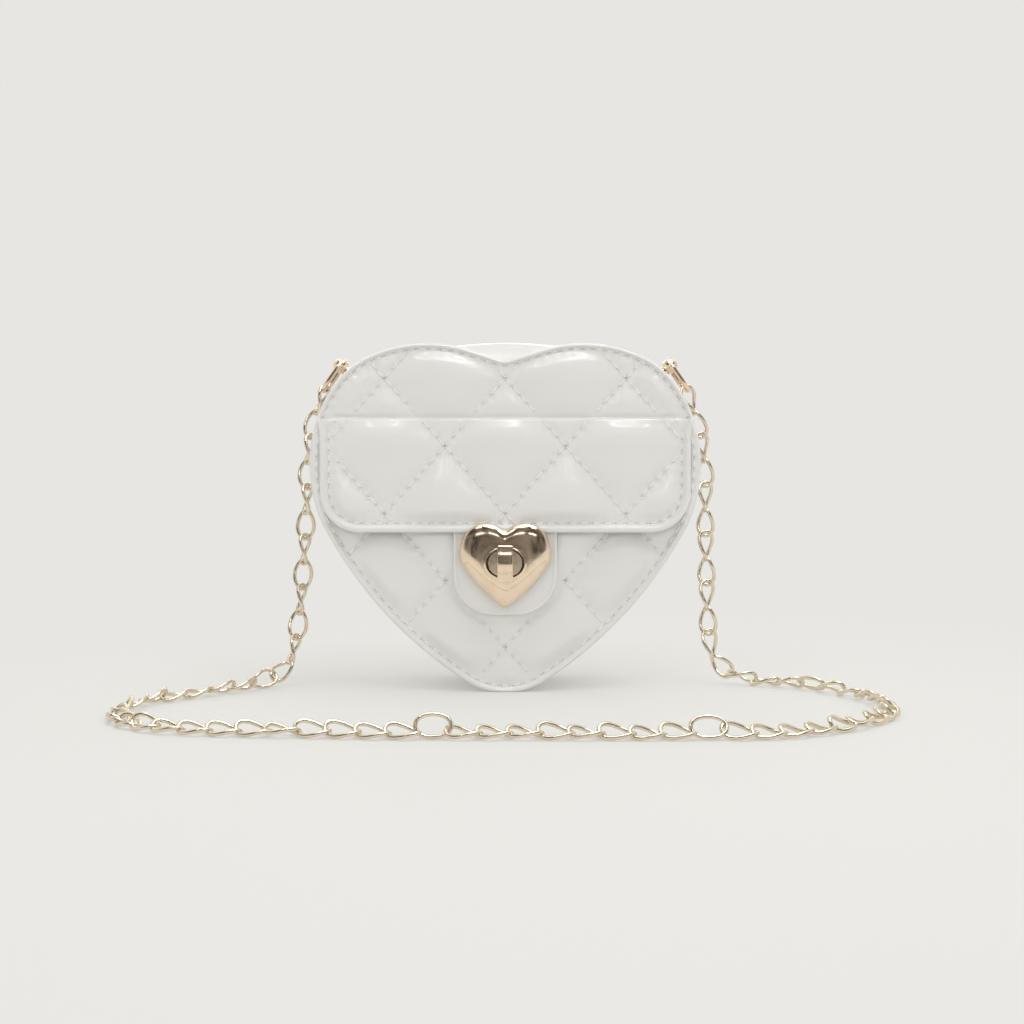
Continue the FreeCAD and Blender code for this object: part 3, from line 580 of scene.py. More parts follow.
def heartOutline(shape):
    # Tangent arcs from the notch to the tip, each centre on the last one's normal: a point is
    # centre + radius * (sin, cos) of its heading. The left half mirrors the right one.
    notchRadius, notch = shape["notch"][0], math.radians(shape["notch"][1])
    arcs = [[shape["lobeOffset"], 0.0, shape["lobe"][0], -notch, math.radians(shape["lobe"][1])]]

    def onward(radius, end):
        # the next centre lies (last radius - radius) out along the heading where the last arc ends
        x, z, last, _, heading = arcs[-1]
        arcs.append([x + (last - radius) * math.sin(heading), z + (last - radius) * math.cos(heading), radius,
                     heading, end])
    for name in ("shoulder", "side", "flank"):
        onward(shape[name][0], math.radians(shape[name][1]))
    tipRadius, tipStart = shape["tip"][0], math.radians(shape["tip"][1])
    x, _, radius, _, heading = arcs[-1]
    reach = x + radius * math.sin(heading) - tipRadius * math.sin(tipStart)
    onward(reach / (math.sin(heading) - math.sin(tipStart)), tipStart)  # the radius that centres the tip
    onward(tipRadius, math.pi)
    x, z, radius = arcs[0][:3]
    runEnd = (x - radius * math.sin(notch), z + radius * math.cos(notch))
    runStart = notchRadius * math.sin(notch)
    runStart = (runStart, runEnd[1] - (runEnd[0] - runStart) * math.tan(notch))
    arcs.insert(0, [0.0, runStart[1] + notchRadius * math.cos(notch), -notchRadius, 0.0, -notch])
    lift = shape["tipHeight"] - (arcs[-1][1] - tipRadius)
    points, headings = [], []
    for number, (x, z, radius, start, end) in enumerate(arcs):
        count = max(3, round(abs(radius * (end - start)) / shape["spacing"]))
        heading = np.linspace(start, end, count, endpoint=False)
        points.append([x, z] + radius * headingWay(heading))
        headings.append(heading)
        if number == 0:
            count = max(3, round(math.dist(runStart, runEnd) / shape["spacing"]))
            points.append(np.linspace(runStart, runEnd, count, endpoint=False))
            headings.append(np.full(count, -notch))
    right = np.concatenate(points) + [0, lift]
    normals = headingWay(np.concatenate(headings))
    tip, down = [[0.0, shape["tipHeight"]]], [[0.0, -1.0]]
    return (np.concatenate([right, tip, right[:0:-1] * mirror]),
            np.concatenate([normals, down, normals[:0:-1] * mirror]))


def roundedOutline(half, low, high, lowCorner, highCorner, spacing=1.0):
    # four quarter circles, each about 1.6 radii long, joined by straight runs
    corners = [(half - highCorner, high - highCorner, highCorner, 0),
               (half - lowCorner, low + lowCorner, lowCorner, 90),
               (lowCorner - half, low + lowCorner, lowCorner, 180),
               (highCorner - half, high - highCorner, highCorner, 270)]
    points, headings = [], []
    for number, (x, z, radius, start) in enumerate(corners):
        heading = np.radians(np.linspace(start, start + 90, max(5, round(radius * 1.6 / spacing))))
        arc = [x, z] + radius * headingWay(heading)
        x, z, radius, start = corners[(number + 1) % 4]
        runEnd = [x, z] + radius * headingWay(math.radians(start))
        count = max(2, round(float(np.linalg.norm(runEnd - arc[-1])) / spacing))
        points += [arc, np.linspace(arc[-1], runEnd, count, endpoint=False)[1:]]
        headings += [heading, np.full(count - 1, heading[-1])]
    return np.concatenate(points), headingWay(np.concatenate(headings))


def inset(outline, depth):
    # an outline's points, moved in by a depth along their directions
    points, normals = outline
    return points - depth * normals


def outlineAt(outline, centre, toward):
    # points and directions of a convex outline where rays from centre towards other points cross it
    points, normals = outline
    bearing = np.arctan2(points[:, 0] - centre[0], points[:, 1] - centre[1]) % (2 * np.pi)
    order = np.argsort(bearing)
    wanted = np.arctan2(toward[:, 0] - centre[0], toward[:, 1] - centre[1]) % (2 * np.pi)
    values = np.concatenate([points, normals], 1)[order]
    found = np.stack([np.interp(wanted, bearing[order], column, period=2 * np.pi) for column in values.T], -1)
    return found[:, :2], unit(found[:, 2:])


heartLine = heartOutline(purseHeart)
creaseHeight = 106.0


# Padded panels


# the rows inside a seam take on the quilt lines' painted groove shade over a short reach
sewing = {"pitch": 4.4, "dip": 0.14, "shadeReach": 3.0, "edgeRows": 11, "fallRows": 6, "crestShare": 0.45,
          "panelSwell": (0.5, 1.1, 1.9, 2.9, 4.2, 6.0), "flapSwell": (0.4, 0.9, 1.6, 2.5, 3.7, 5.0)}
frontPad = {"side": -1, "back": 20.0, "crest": 23.0, "seam": 21.7, "pillow": 3.2, "stitch": 2.9, "rows": 62,
            "backRows": 14, "centre": (0.0, 89.75), "mouth": (60.0, 76.0, 103.5, 8.0, 8.0), "lip": 1.2,
            "lipRows": 9, "sideRise": 4.0, "seamRise": 4.7, "sideLow": (54, 70), "sideHigh": (112, 100),
            "underFlap": 0.4, "flapLow": (60, 66), "flapSide": (74, 69), "yokeLow": (100, 106),
            "tongueBed": 1.7, "bedMiddle": (4.6, 45.4), "bedEdge": (18.4, 14.4), "bedTop": (80, 74)}
backPad = {"side": 1, "back": 20.0, "crest": 22.9, "seam": 21.6, "pillow": 2.2, "stitch": 2.2, "rows": 76,
           "backRows": 14, "centre": (0.0, 84.0), "sideRise": 0.0, "seamRise": 0.0}
floorGap = 0.02
mouthLine = roundedOutline(*frontPad["mouth"])


def seamPhase(line):
    # angle that goes round once for every stitch along a seam
    reach = reachAlong(line)
    return reach / reach[-1] * 2 * np.pi * round(reach[-1] / sewing["pitch"])


def rolledEdge(points, normals, stitch, back, crest, seam):
    # from the back round the edge as half an ellipse, then down to the seam as half a cosine
    turn = np.radians(np.linspace(-90, 90, sewing["edgeRows"]))[:, None]
    fall = np.linspace(0, 1, sewing["fallRows"])[1:, None]
    crestInset = sewing["crestShare"] * stitch
    depth = np.concatenate([crestInset * (1 - np.cos(turn)), partWay(crestInset, stitch, fall)])
    level = np.concatenate([(back + crest) / 2 + (crest - back) / 2 * np.sin(turn),
                            partWay(crest, seam, (1 - np.cos(np.pi * fall)) / 2)])
    return points - depth[..., None] * normals, level


def sewnEdge(points, normals, stitch, back, crest, seam, swell, levelAt):
    # a rolled edge, then rows inside its seam whose level goes over to the quilting's as a smooth step; the
    # last result is how much of the stitch lines' painted groove shade each row takes
    edge, edgeLevel = rolledEdge(points, normals, stitch, back, crest, seam)
    reach = np.array(swell)[:, None]
    inner = points - (stitch + reach)[..., None] * normals
    innerLevel = partWay(seam, levelAt(inner), smoothStep(0, swell[-1], reach))
    shaded = np.r_[np.zeros(len(edge)), smoothStep(0, sewing["shadeReach"], reach[:, 0])]
    return np.concatenate([edge, inner]), np.concatenate([edgeLevel, innerLevel]), shaded


def placed(flat, level, side):
    # panel coordinates to the purse's: side is -1 on the front and 1 on the back
    return np.stack([flat[..., 0], side * level, np.maximum(flat[..., 1], floorGap)], -1)


def besideFlap(z):
    # 1 where the flap's sides lie next to the heart's edge
    return smoothStep(*frontPad["sideLow"], z) * smoothStep(*frontPad["sideHigh"], z)


def frontRise(flat):
    # full pillows below the flap, low ones under the flap and the yoke, and a level bed for the tongue
    x, z = np.abs(flat[..., 0]), flat[..., 1]
    underFlap = smoothStep(*frontPad["flapLow"], z) * smoothStep(*frontPad["flapSide"], x)
    under = np.maximum(underFlap, smoothStep(*frontPad["yokeLow"], z))
    rise = quilting(frontPad["pillow"], flat) * (1 - (1 - frontPad["underFlap"]) * under)
    bedX, bedZ = frontPad["bedMiddle"]
    corner = np.hypot(np.maximum(x - bedX, 0), np.maximum(bedZ - z, 0))
    tongue = smoothStep(*frontPad["bedEdge"], corner) * smoothStep(*frontPad["bedTop"], z)
    return partWay(rise, frontPad["tongueBed"], tongue)


def backRise(flat):
    # even pillows all over
    return quilting(backPad["pillow"], flat)


def paddedPanel(settings, rise, hole=None):
    # Closed skin of a heart panel: rolled edge, seam, then pillows that rise from the seam; it ends at a pole
    # in the middle or, with a hole, at the hole's own rolled edge. Rows run along rays towards the middle.
    points, normals = heartLine
    centre = np.array(settings["centre"])
    beside = besideFlap(points[:, 1])  # there the front's sides come up to the flap's edge
    stitch, back = [np.full(len(points), settings[key]) for key in ("stitch", "back")]
    crest = settings["crest"] + settings["sideRise"] * beside
    phase = seamPhase(closedLoop(inset(heartLine, settings["stitch"])))[:-1]
    seam = settings["seam"] + settings["seamRise"] * beside - sewing["dip"] * np.cos(phase)

    def levelAt(flat):
        # the quilting over the seam's own level
        return settings["seam"] + rise(flat)
    edge, edgeLevel, edgeShade = sewnEdge(points, normals, stitch, back, crest, seam, sewing["panelSwell"],
                                         levelAt)
    share = np.linspace(0, 1, settings["rows"] + 1)[1:, None, None]
    backShare = np.linspace(0, 1, settings["backRows"])[:-1, None, None]
    if hole is None:
        middle = partWay(edge[-1], centre, share)
        middleLevel = levelAt(middle)
        behind = partWay(centre, edge[0], backShare)
    else:
        lip = settings["lip"]
        rim, rimNormals = outlineAt(hole, centre, edge[-1])
        middle = partWay(edge[-1], rim + lip * 3 * rimNormals, share)
        away = np.linalg.norm(middle - rim, axis=-1)
        middleLevel = settings["seam"] + rise(middle) * smoothStep(lip, lip * 5, away)
        turn = np.radians(np.linspace(90, -90, settings["lipRows"]))[:, None]
        lipRows = rim + (lip * (1 - np.cos(turn)))[..., None] * rimNormals
        lipLevel = (back + seam) / 2 + (seam - back) / 2 * np.sin(turn)
        behind = partWay(lipRows[-1], edge[0], backShare[1:])
    front = [(edge, edgeLevel, edgeShade), (middle, middleLevel, np.ones(len(middle)))]
    rear = (behind, np.broadcast_to(back, behind.shape[:2]), np.zeros(len(behind)))
    rows = [rear] + front if hole is None else front + [(lipRows, lipLevel, np.zeros(len(lipRows))), rear]
    flat, level, shaded = [np.concatenate(column) for column in zip(*rows)]
    faces = gridFaces(*flat.shape[:2], hole is not None, True)
    # the third result is the painted groove shade along the stitch lines, for the mesh's seam attribute
    return placed(flat, level, settings["side"]), faces, seamShadeMask(flat) * shaded[:, None]


points, faces, seamShade = paddedPanel(frontPad, frontRise, mouthLine)
frontPanel = newPiece("frontPanel", points, faces, "purse", "white_patent", ["front_panel", "front_padding"],
                      {"seam": seamShade})

points, faces, seamShade = paddedPanel(backPad, backRise)
backPanel = newPiece("backPanel", points, faces, "purse", "white_patent", ["back_panel", "back_padding"],
                     {"seam": seamShade})


# Yoke and flap: one quilted piece that is folded at the crease


flapPad = {"yokeBack": 23.0, "flapBack": 25.6, "yokeSeam": 25.7, "flapSeam": 26.2, "yokeCrest": 26.9,
           "flapCrest": 27.7, "yokeStitch": 2.2, "flapStitch": 3.5, "stitchChange": (106, 98), "pillow": 3.5,
           "half": 71.3, "low": 62.0, "corner": 15.4, "shoulder": 6.0, "columns": 230, "foldBelow": 0.5,
           "foldAbove": 0.3, "creaseFlat": 0.7, "creaseAbove": 4.5, "creaseBelow": 3.2, "creaseDip": 0.8,
           "dipHeight": 0.5, "dipWidth": 0.9}


def lineNormals(points, turn):
    # square to the line, from its neighbours on either side
    step = np.gradient(points, axis=0)
    normals = unit(np.stack([-step[:, 1], step[:, 0]], -1)) * turn
    normals[0], normals[-1] = (-1, 0), (1, 0)
    return normals


def flapOutline():
    # upper line: the heart above the crease; lower line: down the flap's side, round its corners and across
    points = heartLine[0]
    right = points[:len(points) // 2]
    right = right[right[:, 1] > creaseHeight]
    above, below = right[-1], points[len(right)]
    meet = partWay(above, below, (creaseHeight - above[1]) / (below[1] - above[1]))
    right = np.concatenate([right, meet[None]])
    upper = evenLine(np.concatenate([right[:0:-1] * mirror, right]), flapPad["columns"])
    t = np.linspace(0, 1, 12, endpoint=False)
    half, low, corner = flapPad["half"], flapPad["low"], flapPad["corner"]
    neck = np.stack([partWay(half, meet[0], 1 - smoothStep(0, 1, t)),
                     creaseHeight - flapPad["shoulder"] * t], -1)
    bend = [half - corner, low + corner] + corner * headingWay(np.radians(np.linspace(90, 180, 40)))
    lower = np.concatenate([neck, bend, [[0, low]]])
    lower = evenLine(np.concatenate([lower * mirror, lower[-2::-1]]), flapPad["columns"])
    return (upper, lineNormals(upper, 1)), (lower, lineNormals(lower, -1))


def roundLoop(upper, lower):
    # one loop from the upper line's values and the lower line's, which share their ends
    return np.concatenate([upper, lower[-2:0:-1]])


def onFlap(z):
    # 0 on the yoke, 1 on the flap, changing within a millimetre of the crease
    return 1 - smoothStep(creaseHeight - flapPad["foldBelow"], creaseHeight + flapPad["foldAbove"], z)


def yokeOrFlap(key, share):
    # the yoke's value, the flap's or one between them
    return partWay(flapPad["yoke" + key], flapPad["flap" + key], share)


def flapLevel(flat):
    # pillows that flatten into the crease, slowly on the yoke and at once on the flap, with a dip along it
    above = flat[..., 1] - creaseHeight
    width = np.where(above > 0, flapPad["creaseAbove"], flapPad["creaseBelow"])
    rise = quilting(flapPad["pillow"], flat) * (1 - flapPad["creaseFlat"] * bell(above, width))
    dip = flapPad["creaseDip"] * bell(above - flapPad["dipHeight"], flapPad["dipWidth"])
    return yokeOrFlap("Seam", onFlap(flat[..., 1])) + (rise - dip)


upperLine, lowerLine = flapOutline()


def yokeFlapSkin():
    # Rows run from the upper line to the crease and on to the lower line, so the fold falls on one row. A
    # rolled edge goes all round, and the back has rows like the front's, only fewer.
    points, normals = [roundLoop(upper, lower) for upper, lower in zip(upperLine, lowerLine)]
    count = flapPad["columns"]
    isFlap = onFlap(points[:, 1])
    stitch = yokeOrFlap("Stitch", smoothStep(*flapPad["stitchChange"], points[:, 1]))
    back, crest, seam = [yokeOrFlap(key, isFlap) for key in ("Back", "Crest", "Seam")]
    phase = roundLoop(seamPhase(inset(upperLine, flapPad["yokeStitch"])),
                      seamPhase(inset(lowerLine, flapPad["flapStitch"])))
    seam = seam - sewing["dip"] * np.cos(phase)
    edge, edgeLevel, shaded = sewnEdge(points, normals, stitch, back, crest, seam, sewing["flapSwell"],
                                      flapLevel)

    def rowsBetween(loop, upShares, lowShares):
        # rows from the loop's upper line to the crease and on to its lower line, at shares of the way
        top = loop[:count]
        bottom = np.concatenate([loop[:1], loop[:count - 1:-1], loop[count - 1:count]])
        crease = np.linspace(top[0], top[-1], count)
        crease[:, 1] = creaseHeight
        crease[0], crease[-1] = top[0], top[-1]
        return np.concatenate([partWay(crease, top, upShares[::-1, None, None]),
                               partWay(crease, bottom, lowShares[1:, None, None])])
    front = rowsBetween(edge[-1], np.r_[0, 0.012, 0.03, 0.055, np.linspace(0.09, 1, 20)],
                        np.r_[0, 0.006, 0.012, 0.018, 0.025, 0.032, 0.04, np.linspace(0.06, 1, 38)])
    rear = rowsBetween(edge[0], np.r_[np.linspace(0, 0.9, 8), 0.98, 1],
                       np.r_[0, 0.012, 0.03, np.linspace(0.1, 0.95, 10), 0.99, 1])
    rearLevel = yokeOrFlap("Back", onFlap(rear[..., 1]))
    layers = [(edge, edgeLevel, True, shaded[:, None]), (front, flapLevel(front), False, 1),
              (rear, rearLevel, False, 0)]
    parts, tones = [], []
    for flat, level, closed, share in layers:
        parts.append((placed(flat, level, -1).reshape(-1, 3), gridFaces(*flat.shape[:2], False, closed)))
        # painted groove shade along the stitch lines, for the mesh's seam attribute
        tones.append((seamShadeMask(flat) * share).ravel())
    return *joined(parts), np.concatenate(tones)


points, faces, seamShade = yokeFlapSkin()
yokeFlap = newPiece("yokeFlap", points, faces, None, "white_patent",
                    ["yoke_panel", "yoke_padding", "flap_panel", "flap_padding"], {"seam": seamShade})
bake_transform(yokeFlap)


# Gusset


gusset = {"inset": 0.4, "skin": 1.0, "half": 20.0, "bulge": 0.9, "bulgePower": 2.2, "rows": 21,
          "innerRows": 9, "bridge": 136.3, "bridgeCurve": 0.0035, "bridgeEnds": (36, 28), "lobes": 110,
          "innerLift": 0.98}


def gussetSkin():
    # the heart's outline carried through the depth: it bulges by 1 - |y / half|^2.2, and behind the notch it
    # rises to a nearly level bridge between the lobes; the inner side goes back without the bulge
    outer = inset(heartLine, gusset["inset"])
    inner = inset(heartLine, gusset["inset"] + gusset["skin"])
    x, z = outer.T
    short = np.maximum(gusset["bridge"] - gusset["bridgeCurve"] * x ** 2 - z, 0)
    lift = short * smoothStep(*gusset["bridgeEnds"], np.abs(x)) * (z > gusset["lobes"])
    lift = np.stack([0 * lift, lift], -1)
    half = gusset["half"]
    depths = np.linspace(-half, half, gusset["rows"]), np.linspace(half, -half, gusset["innerRows"])
    swell, innerSwell = [(1 - np.abs(y / half) ** gusset["bulgePower"])[:, None, None] for y in depths]
    flat = np.concatenate([outer + swell * (gusset["bulge"] * heartLine[1] + lift),
                           inner + innerSwell * (gusset["innerLift"] * lift)])
    depth = np.concatenate(depths)[:, None] + 0 * flat[..., 0]
    points = np.stack([flat[..., 0], depth, np.maximum(flat[..., 1], 0.0)], -1)
    return points, gridFaces(*flat.shape[:2], True, True)


newPiece("gussetBand", *gussetSkin(), "purse", "white_patent", ["gusset_band"])


# Lock: tongue, heart plate, turn bar


lock = {
    "height": 50.4, "slot": (7.3, 5.7), "slotPoints": 240,
    "tongueBack": 23.9, "tongueFront": 25.1, "tongueLip": 0.3, "tongueRoll": 1.8, "tongueHalf": 20.0,
    "tongueLow": 30.0, "tongueHigh": 76.0, "tongueCorner": 15.4, "tongueTop": 1.0, "tongueSpacing": 0.8,
    "edgeLevel": 26.4, "crownLevel": 31.2, "crownPowers": (2.4, 0.62), "edgeRise": (48, 63),
    "flapClear": 28.0, "overFlap": 0.4, "flapStep": (60.6, 62.0), "collarLevel": 31.8,
    "collar": ((0, -2.2), (0, -0.15), (0.12, 0), (0.5, 0), (0.66, -0.12), (0.74, -0.55)),  # out and up
    "barHalf": (2.95, 6.9), "barBack": 32.2, "barFront": 35.2, "barArch": 1.5, "barPower": 0.22,
    "barRows": 17, "barEnd": (0.955, 0.985, 1, 1), "barEndSize": (0.985, 0.95, 0.86, 0), "around": 40,
    "postRadius": 2.0, "postEnd": 16.85, "postBevel": 0.3, "postMiddle": 31.0, "postSunk": 0.4,
    "postSize": (0, 0.85, 1, 1, 1, 0),
}
lockCentre = np.array([0.0, lock["height"]])


def slotOutline():
    # an oval, half width * sin and half height * cos of the bearing
    way = headingWay(circle(lock["slotPoints"]))
    return lockCentre + lock["slot"] * way, unit(way / lock["slot"])


def tongueSkin():
    # rolled edge with a light lip, then level in to the oval slot, down its wall and back out behind
    shape = [lock["tongue" + key] for key in ("Half", "Low", "High", "Corner", "Top", "Spacing")]
    points, normals = roundedOutline(*shape)
    roll, back, front = [np.full(len(points), lock["tongue" + key]) for key in ("Roll", "Back", "Front")]
    edge, level = rolledEdge(points, normals, roll, back, front + lock["tongueLip"], front)
    slot = outlineAt(slotOutline(), lockCentre, points)[0]
    middle = partWay(edge[-1], slot, np.r_[np.linspace(0, 0.9, 10)[1:], 0.97, 1][:, None, None])
    rear = partWay(slot, edge[0], np.r_[0, 0.03, 0.2, 0.4, 0.6, 0.8, 0.96][:, None, None])
    flat = np.concatenate([edge, middle, rear])
    level = np.concatenate([level, np.broadcast_to(front, middle.shape[:2]),
                            np.broadcast_to(back, rear.shape[:2])])
    return placed(flat, level, -1), gridFaces(*flat.shape[:2], True, True)


def plateSkin():
    # puffed heart: from the collar round the slot the level falls as (1 - t^2.4)^0.62 to the outline, where a
    # short wall goes down to the tongue; where the plate lies over the flap its back steps up
    points = heartOutline(plateHeart)[0]
    slot, slotNormals = outlineAt(slotOutline(), lockCentre, points)

    def backLevel(flat):
        # the tongue's front or, over the flap, just clear of it
        return partWay(lock["tongueFront"], lock["flapClear"], smoothStep(*lock["flapStep"], flat[..., 1]))
    edgeRise = smoothStep(*lock["edgeRise"], points[:, 1])
    edgeLevel = partWay(lock["edgeLevel"], lock["flapClear"] + lock["overFlap"], edgeRise)
    out, up = np.array(lock["collar"]).T[..., None]
    collar = slot + out[..., None] * slotNormals
    t = np.linspace(0.03, 1, 30)[:, None]
    fall, puff = lock["crownPowers"]
    wallShare = np.array([[0.3], [1.0]])
    behind = partWay(points, slot, np.array([0.25, 0.5, 0.75, 1.0])[:, None, None])
    flat = np.concatenate([collar, partWay(collar[-1], points, t[..., None]), [points, points], behind])
    level = np.concatenate([lock["collarLevel"] + up + 0 * edgeLevel,
                            partWay(edgeLevel, lock["crownLevel"], (1 - t ** fall) ** puff),
                            partWay(edgeLevel, backLevel(points), wallShare), backLevel(behind)])
    return placed(flat, level, -1), gridFaces(*flat.shape[:2], True, True)


def knobSkin():
    # Bar: a rounded box section, (cos, sin)^0.22 with their signs, carried from its lower to its upper end,
    # its front bowed by 1 - t^2; post: a round section carried back through the base.
    halfWidth, halfLength = lock["barHalf"]
    end, endSize = np.array(lock["barEnd"]), np.array(lock["barEndSize"])
    t = np.r_[-end[::-1], np.linspace(-0.9, 0.9, lock["barRows"]), end][:, None]
    size = np.r_[endSize[::-1], np.ones(lock["barRows"]), endSize][:, None]
    a = circle(lock["around"])
    front, back = lock["barFront"] - lock["barArch"] * t ** 2, lock["barBack"]
    x = halfWidth * size * signedPower(np.cos(a), lock["barPower"])
    level = (front + back) / 2 + (front - back) / 2 * size * signedPower(np.sin(a), lock["barPower"])
    bar = np.stack([x, -level, lock["height"] + halfLength * t + 0 * x], -1).reshape(-1, 3)
    end, front = lock["postEnd"], back + lock["postSunk"]
    levels = np.array([end, end, end + lock["postBevel"], lock["postMiddle"], front, front])[:, None]
    radius = lock["postRadius"] * np.array(lock["postSize"])[:, None]
    post = np.stack([radius * np.cos(a), -levels + 0 * a, lock["height"] + radius * np.sin(a)], -1)
    return joined([(bar, gridFaces(len(t), len(a), False, True)),
                   (post.reshape(-1, 3), gridFaces(len(levels), len(a), False, True))])


newPiece("lockTongue", *tongueSkin(), "flap", "white_patent", ["lock_tongue"], sharp=40)
newPiece("heartPlate", *plateSkin(), "flap", "pale_gold", ["heart_plate"], sharp=48)
newPiece("turnKnob", *knobSkin(), "knob", "pale_gold", ["turn_knob"], sharp=40)


# Linings


linings = {"inset": 3.2, "rows": 16, "ripple": 0.06, "front": (19.4, 19.95), "back": (-19.95, -19.4),
           "flap": (25.1, 25.55), "mouth": (61.0, 75.0, 104.5, 8.5, 8.5),
           "flapCut": (69.8, 63.4, 105.2, 14.4, 1.0), "flapCentre": (0.0, 84.0), "gussetHalf": 19.4,
           "gussetInset": (2.45, 2.95), "gussetRows": 15}


def flatCloth(name, points, centre, levels, body, node, hole=None):
    # a thin cloth between two levels, its rows carried from the outline towards the middle or the hole, with
    # ripples as a sine across that is bent by a sine up
    low, high = levels
    centre = np.array(centre)
    inside = outlineAt(hole, centre, points)[0] if hole else np.broadcast_to(centre, points.shape)
    share = np.linspace(0, 1, linings["rows"])[:, None, None]
    front = partWay(points, inside, share)
    bent = 0.35 * front[..., 0] + 1.3 * np.sin(0.11 * front[..., 1])
    ripple = linings["ripple"] * np.sin(bent) * np.sin(np.pi * share[..., 0])
    flat = np.concatenate([front, front[::-1]])
    level = np.concatenate([high + ripple, low + ripple[::-1]])
    faces = gridFaces(*flat.shape[:2], True, True)
    piece = newPiece(name, placed(flat, level, -1), faces, body, "lining_cloth", [node])


def gussetLining():
    # the heart's outline, moved in, carried through the depth and back a cloth's thickness further in
    half, rows = linings["gussetHalf"], linings["gussetRows"]
    depth = np.r_[np.linspace(-half, half, rows), np.linspace(half, -half, rows)]
    flat = inset(heartLine, np.repeat(linings["gussetInset"], rows)[:, None, None])
    points = np.stack([flat[..., 0], depth[:, None] + 0 * flat[..., 0], flat[..., 1]], -1)
    faces = gridFaces(*flat.shape[:2], True, True)
    piece = newPiece("gussetLining", points, faces, "purse", "lining_cloth", ["gusset_lining"])


panelCut = inset(heartLine, linings["inset"])
flapCut = roundedOutline(*linings["flapCut"])[0]
flatCloth("frontLining", panelCut, frontPad["centre"], linings["front"], "purse", "front_lining",
          roundedOutline(*linings["mouth"]))
flatCloth("backLining", panelCut, backPad["centre"], linings["back"], "purse", "back_lining")
flatCloth("flapLining", flapCut, linings["flapCentre"], linings["flap"], "flap", "flap_lining")
gussetLining()


# Stitching


# the dark values and the two hole factors set the painted shade of the needle holes at the stitch ends
thread = {"length": 4.0, "radius": 0.36, "lift": 0.05, "arch": 0.35, "sides": 6, "borderHoleShade": 1.0,
          "quiltHoleShade": 0.3, "along": (-1, -0.86, -0.7, -0.25, 0.25, 0.7, 0.86, 1),
          "size": (0, 0.8, 1, 1, 1, 1, 0.8, 0), "dark": (1, 0.8, 0.2, 0, 0, 0.2, 0.8, 1)}
# how far the quilt lines stay from each edge, and the tops of the tongue's bed and of the lines under the flap
quiltClear = {"panel": 4.6, "yoke": 3.5, "flap": 5.0, "crease": 1.6, "mouth": 5.0, "tongue": 1.0,
              "tongueTop": 80, "hidden": 9.0, "hiddenTop": 100}


def stitches(places, directions, levels, side):
    # short threads: a run that arches down into its holes as t^6, its round section closed at both ends
    t, size = np.array(thread["along"])[:, None], np.array(thread["size"])[:, None, None]
    a = circle(thread["sides"])[:, None]
    along = np.stack([directions[:, 0], 0 * directions[:, 0], directions[:, 1]], -1)
    out = np.array([0.0, side, 0.0])
    across = np.cross(along, out)
    level = np.broadcast_to(side * (levels + thread["lift"]), len(places))
    centre = np.stack([places[:, 0], level, places[:, 1]], -1)
    line = centre[:, None] + along[:, None] * (t * thread["length"] / 2) - out * thread["arch"] * t ** 6
    ring = across[:, None, None] * np.cos(a) + out * np.sin(a)
    points = line[:, :, None] + ring * thread["radius"] * size
    faces = gridFaces(len(t), len(a), False, True)
    return points.reshape(-1, 3), repeatedFaces(faces, len(places), len(t) * len(a))


def stitchMarks(line):
    # middles and directions of the stitches along a seam
    ends = evenLine(line, round(reachAlong(line)[-1] / sewing["pitch"]) + 1)
    return (ends[1:] + ends[:-1]) / 2, unit(ends[1:] - ends[:-1])


def quiltLines():
    # every stitch of both families: middles at half steps along lines of even u and of even v
    half = np.array([quilt["halfAcross"], quilt["halfUp"]])
    step = (np.arange(-8 * quilt["stitches"], 8 * quilt["stitches"]) + 0.5) * 2 / quilt["stitches"]
    fixed, moving = np.meshgrid(np.arange(-8.0, 9.0, 2.0), step, indexing="ij")
    marks, ways = [], []
    for u, v, sign in ((fixed, moving, -1), (moving, fixed, 1)):
        places = np.stack([u + v, u - v], -1) / 2 * half + [0, quilt["nodeHeight"]]
        marks.append(places.reshape(-1, 2))
        ways.append(np.broadcast_to(unit(half * [1, sign]), marks[-1].shape))
    return np.concatenate(marks), np.concatenate(ways)


def insideLine(outline, points):
    # even and odd crossings of a ray to the right of every point
    a, b = outline, np.roll(outline, -1, 0)
    x, z = points[:, 0:1], points[:, 1:2]
    crosses = (a[:, 1] > z) != (b[:, 1] > z)
    rise = np.where(b[:, 1] == a[:, 1], 1e-9, b[:, 1] - a[:, 1])
    where = a[:, 0] + (z - a[:, 1]) * (b[:, 0] - a[:, 0]) / rise
    return (crosses & (x < where)).sum(1) % 2 == 1


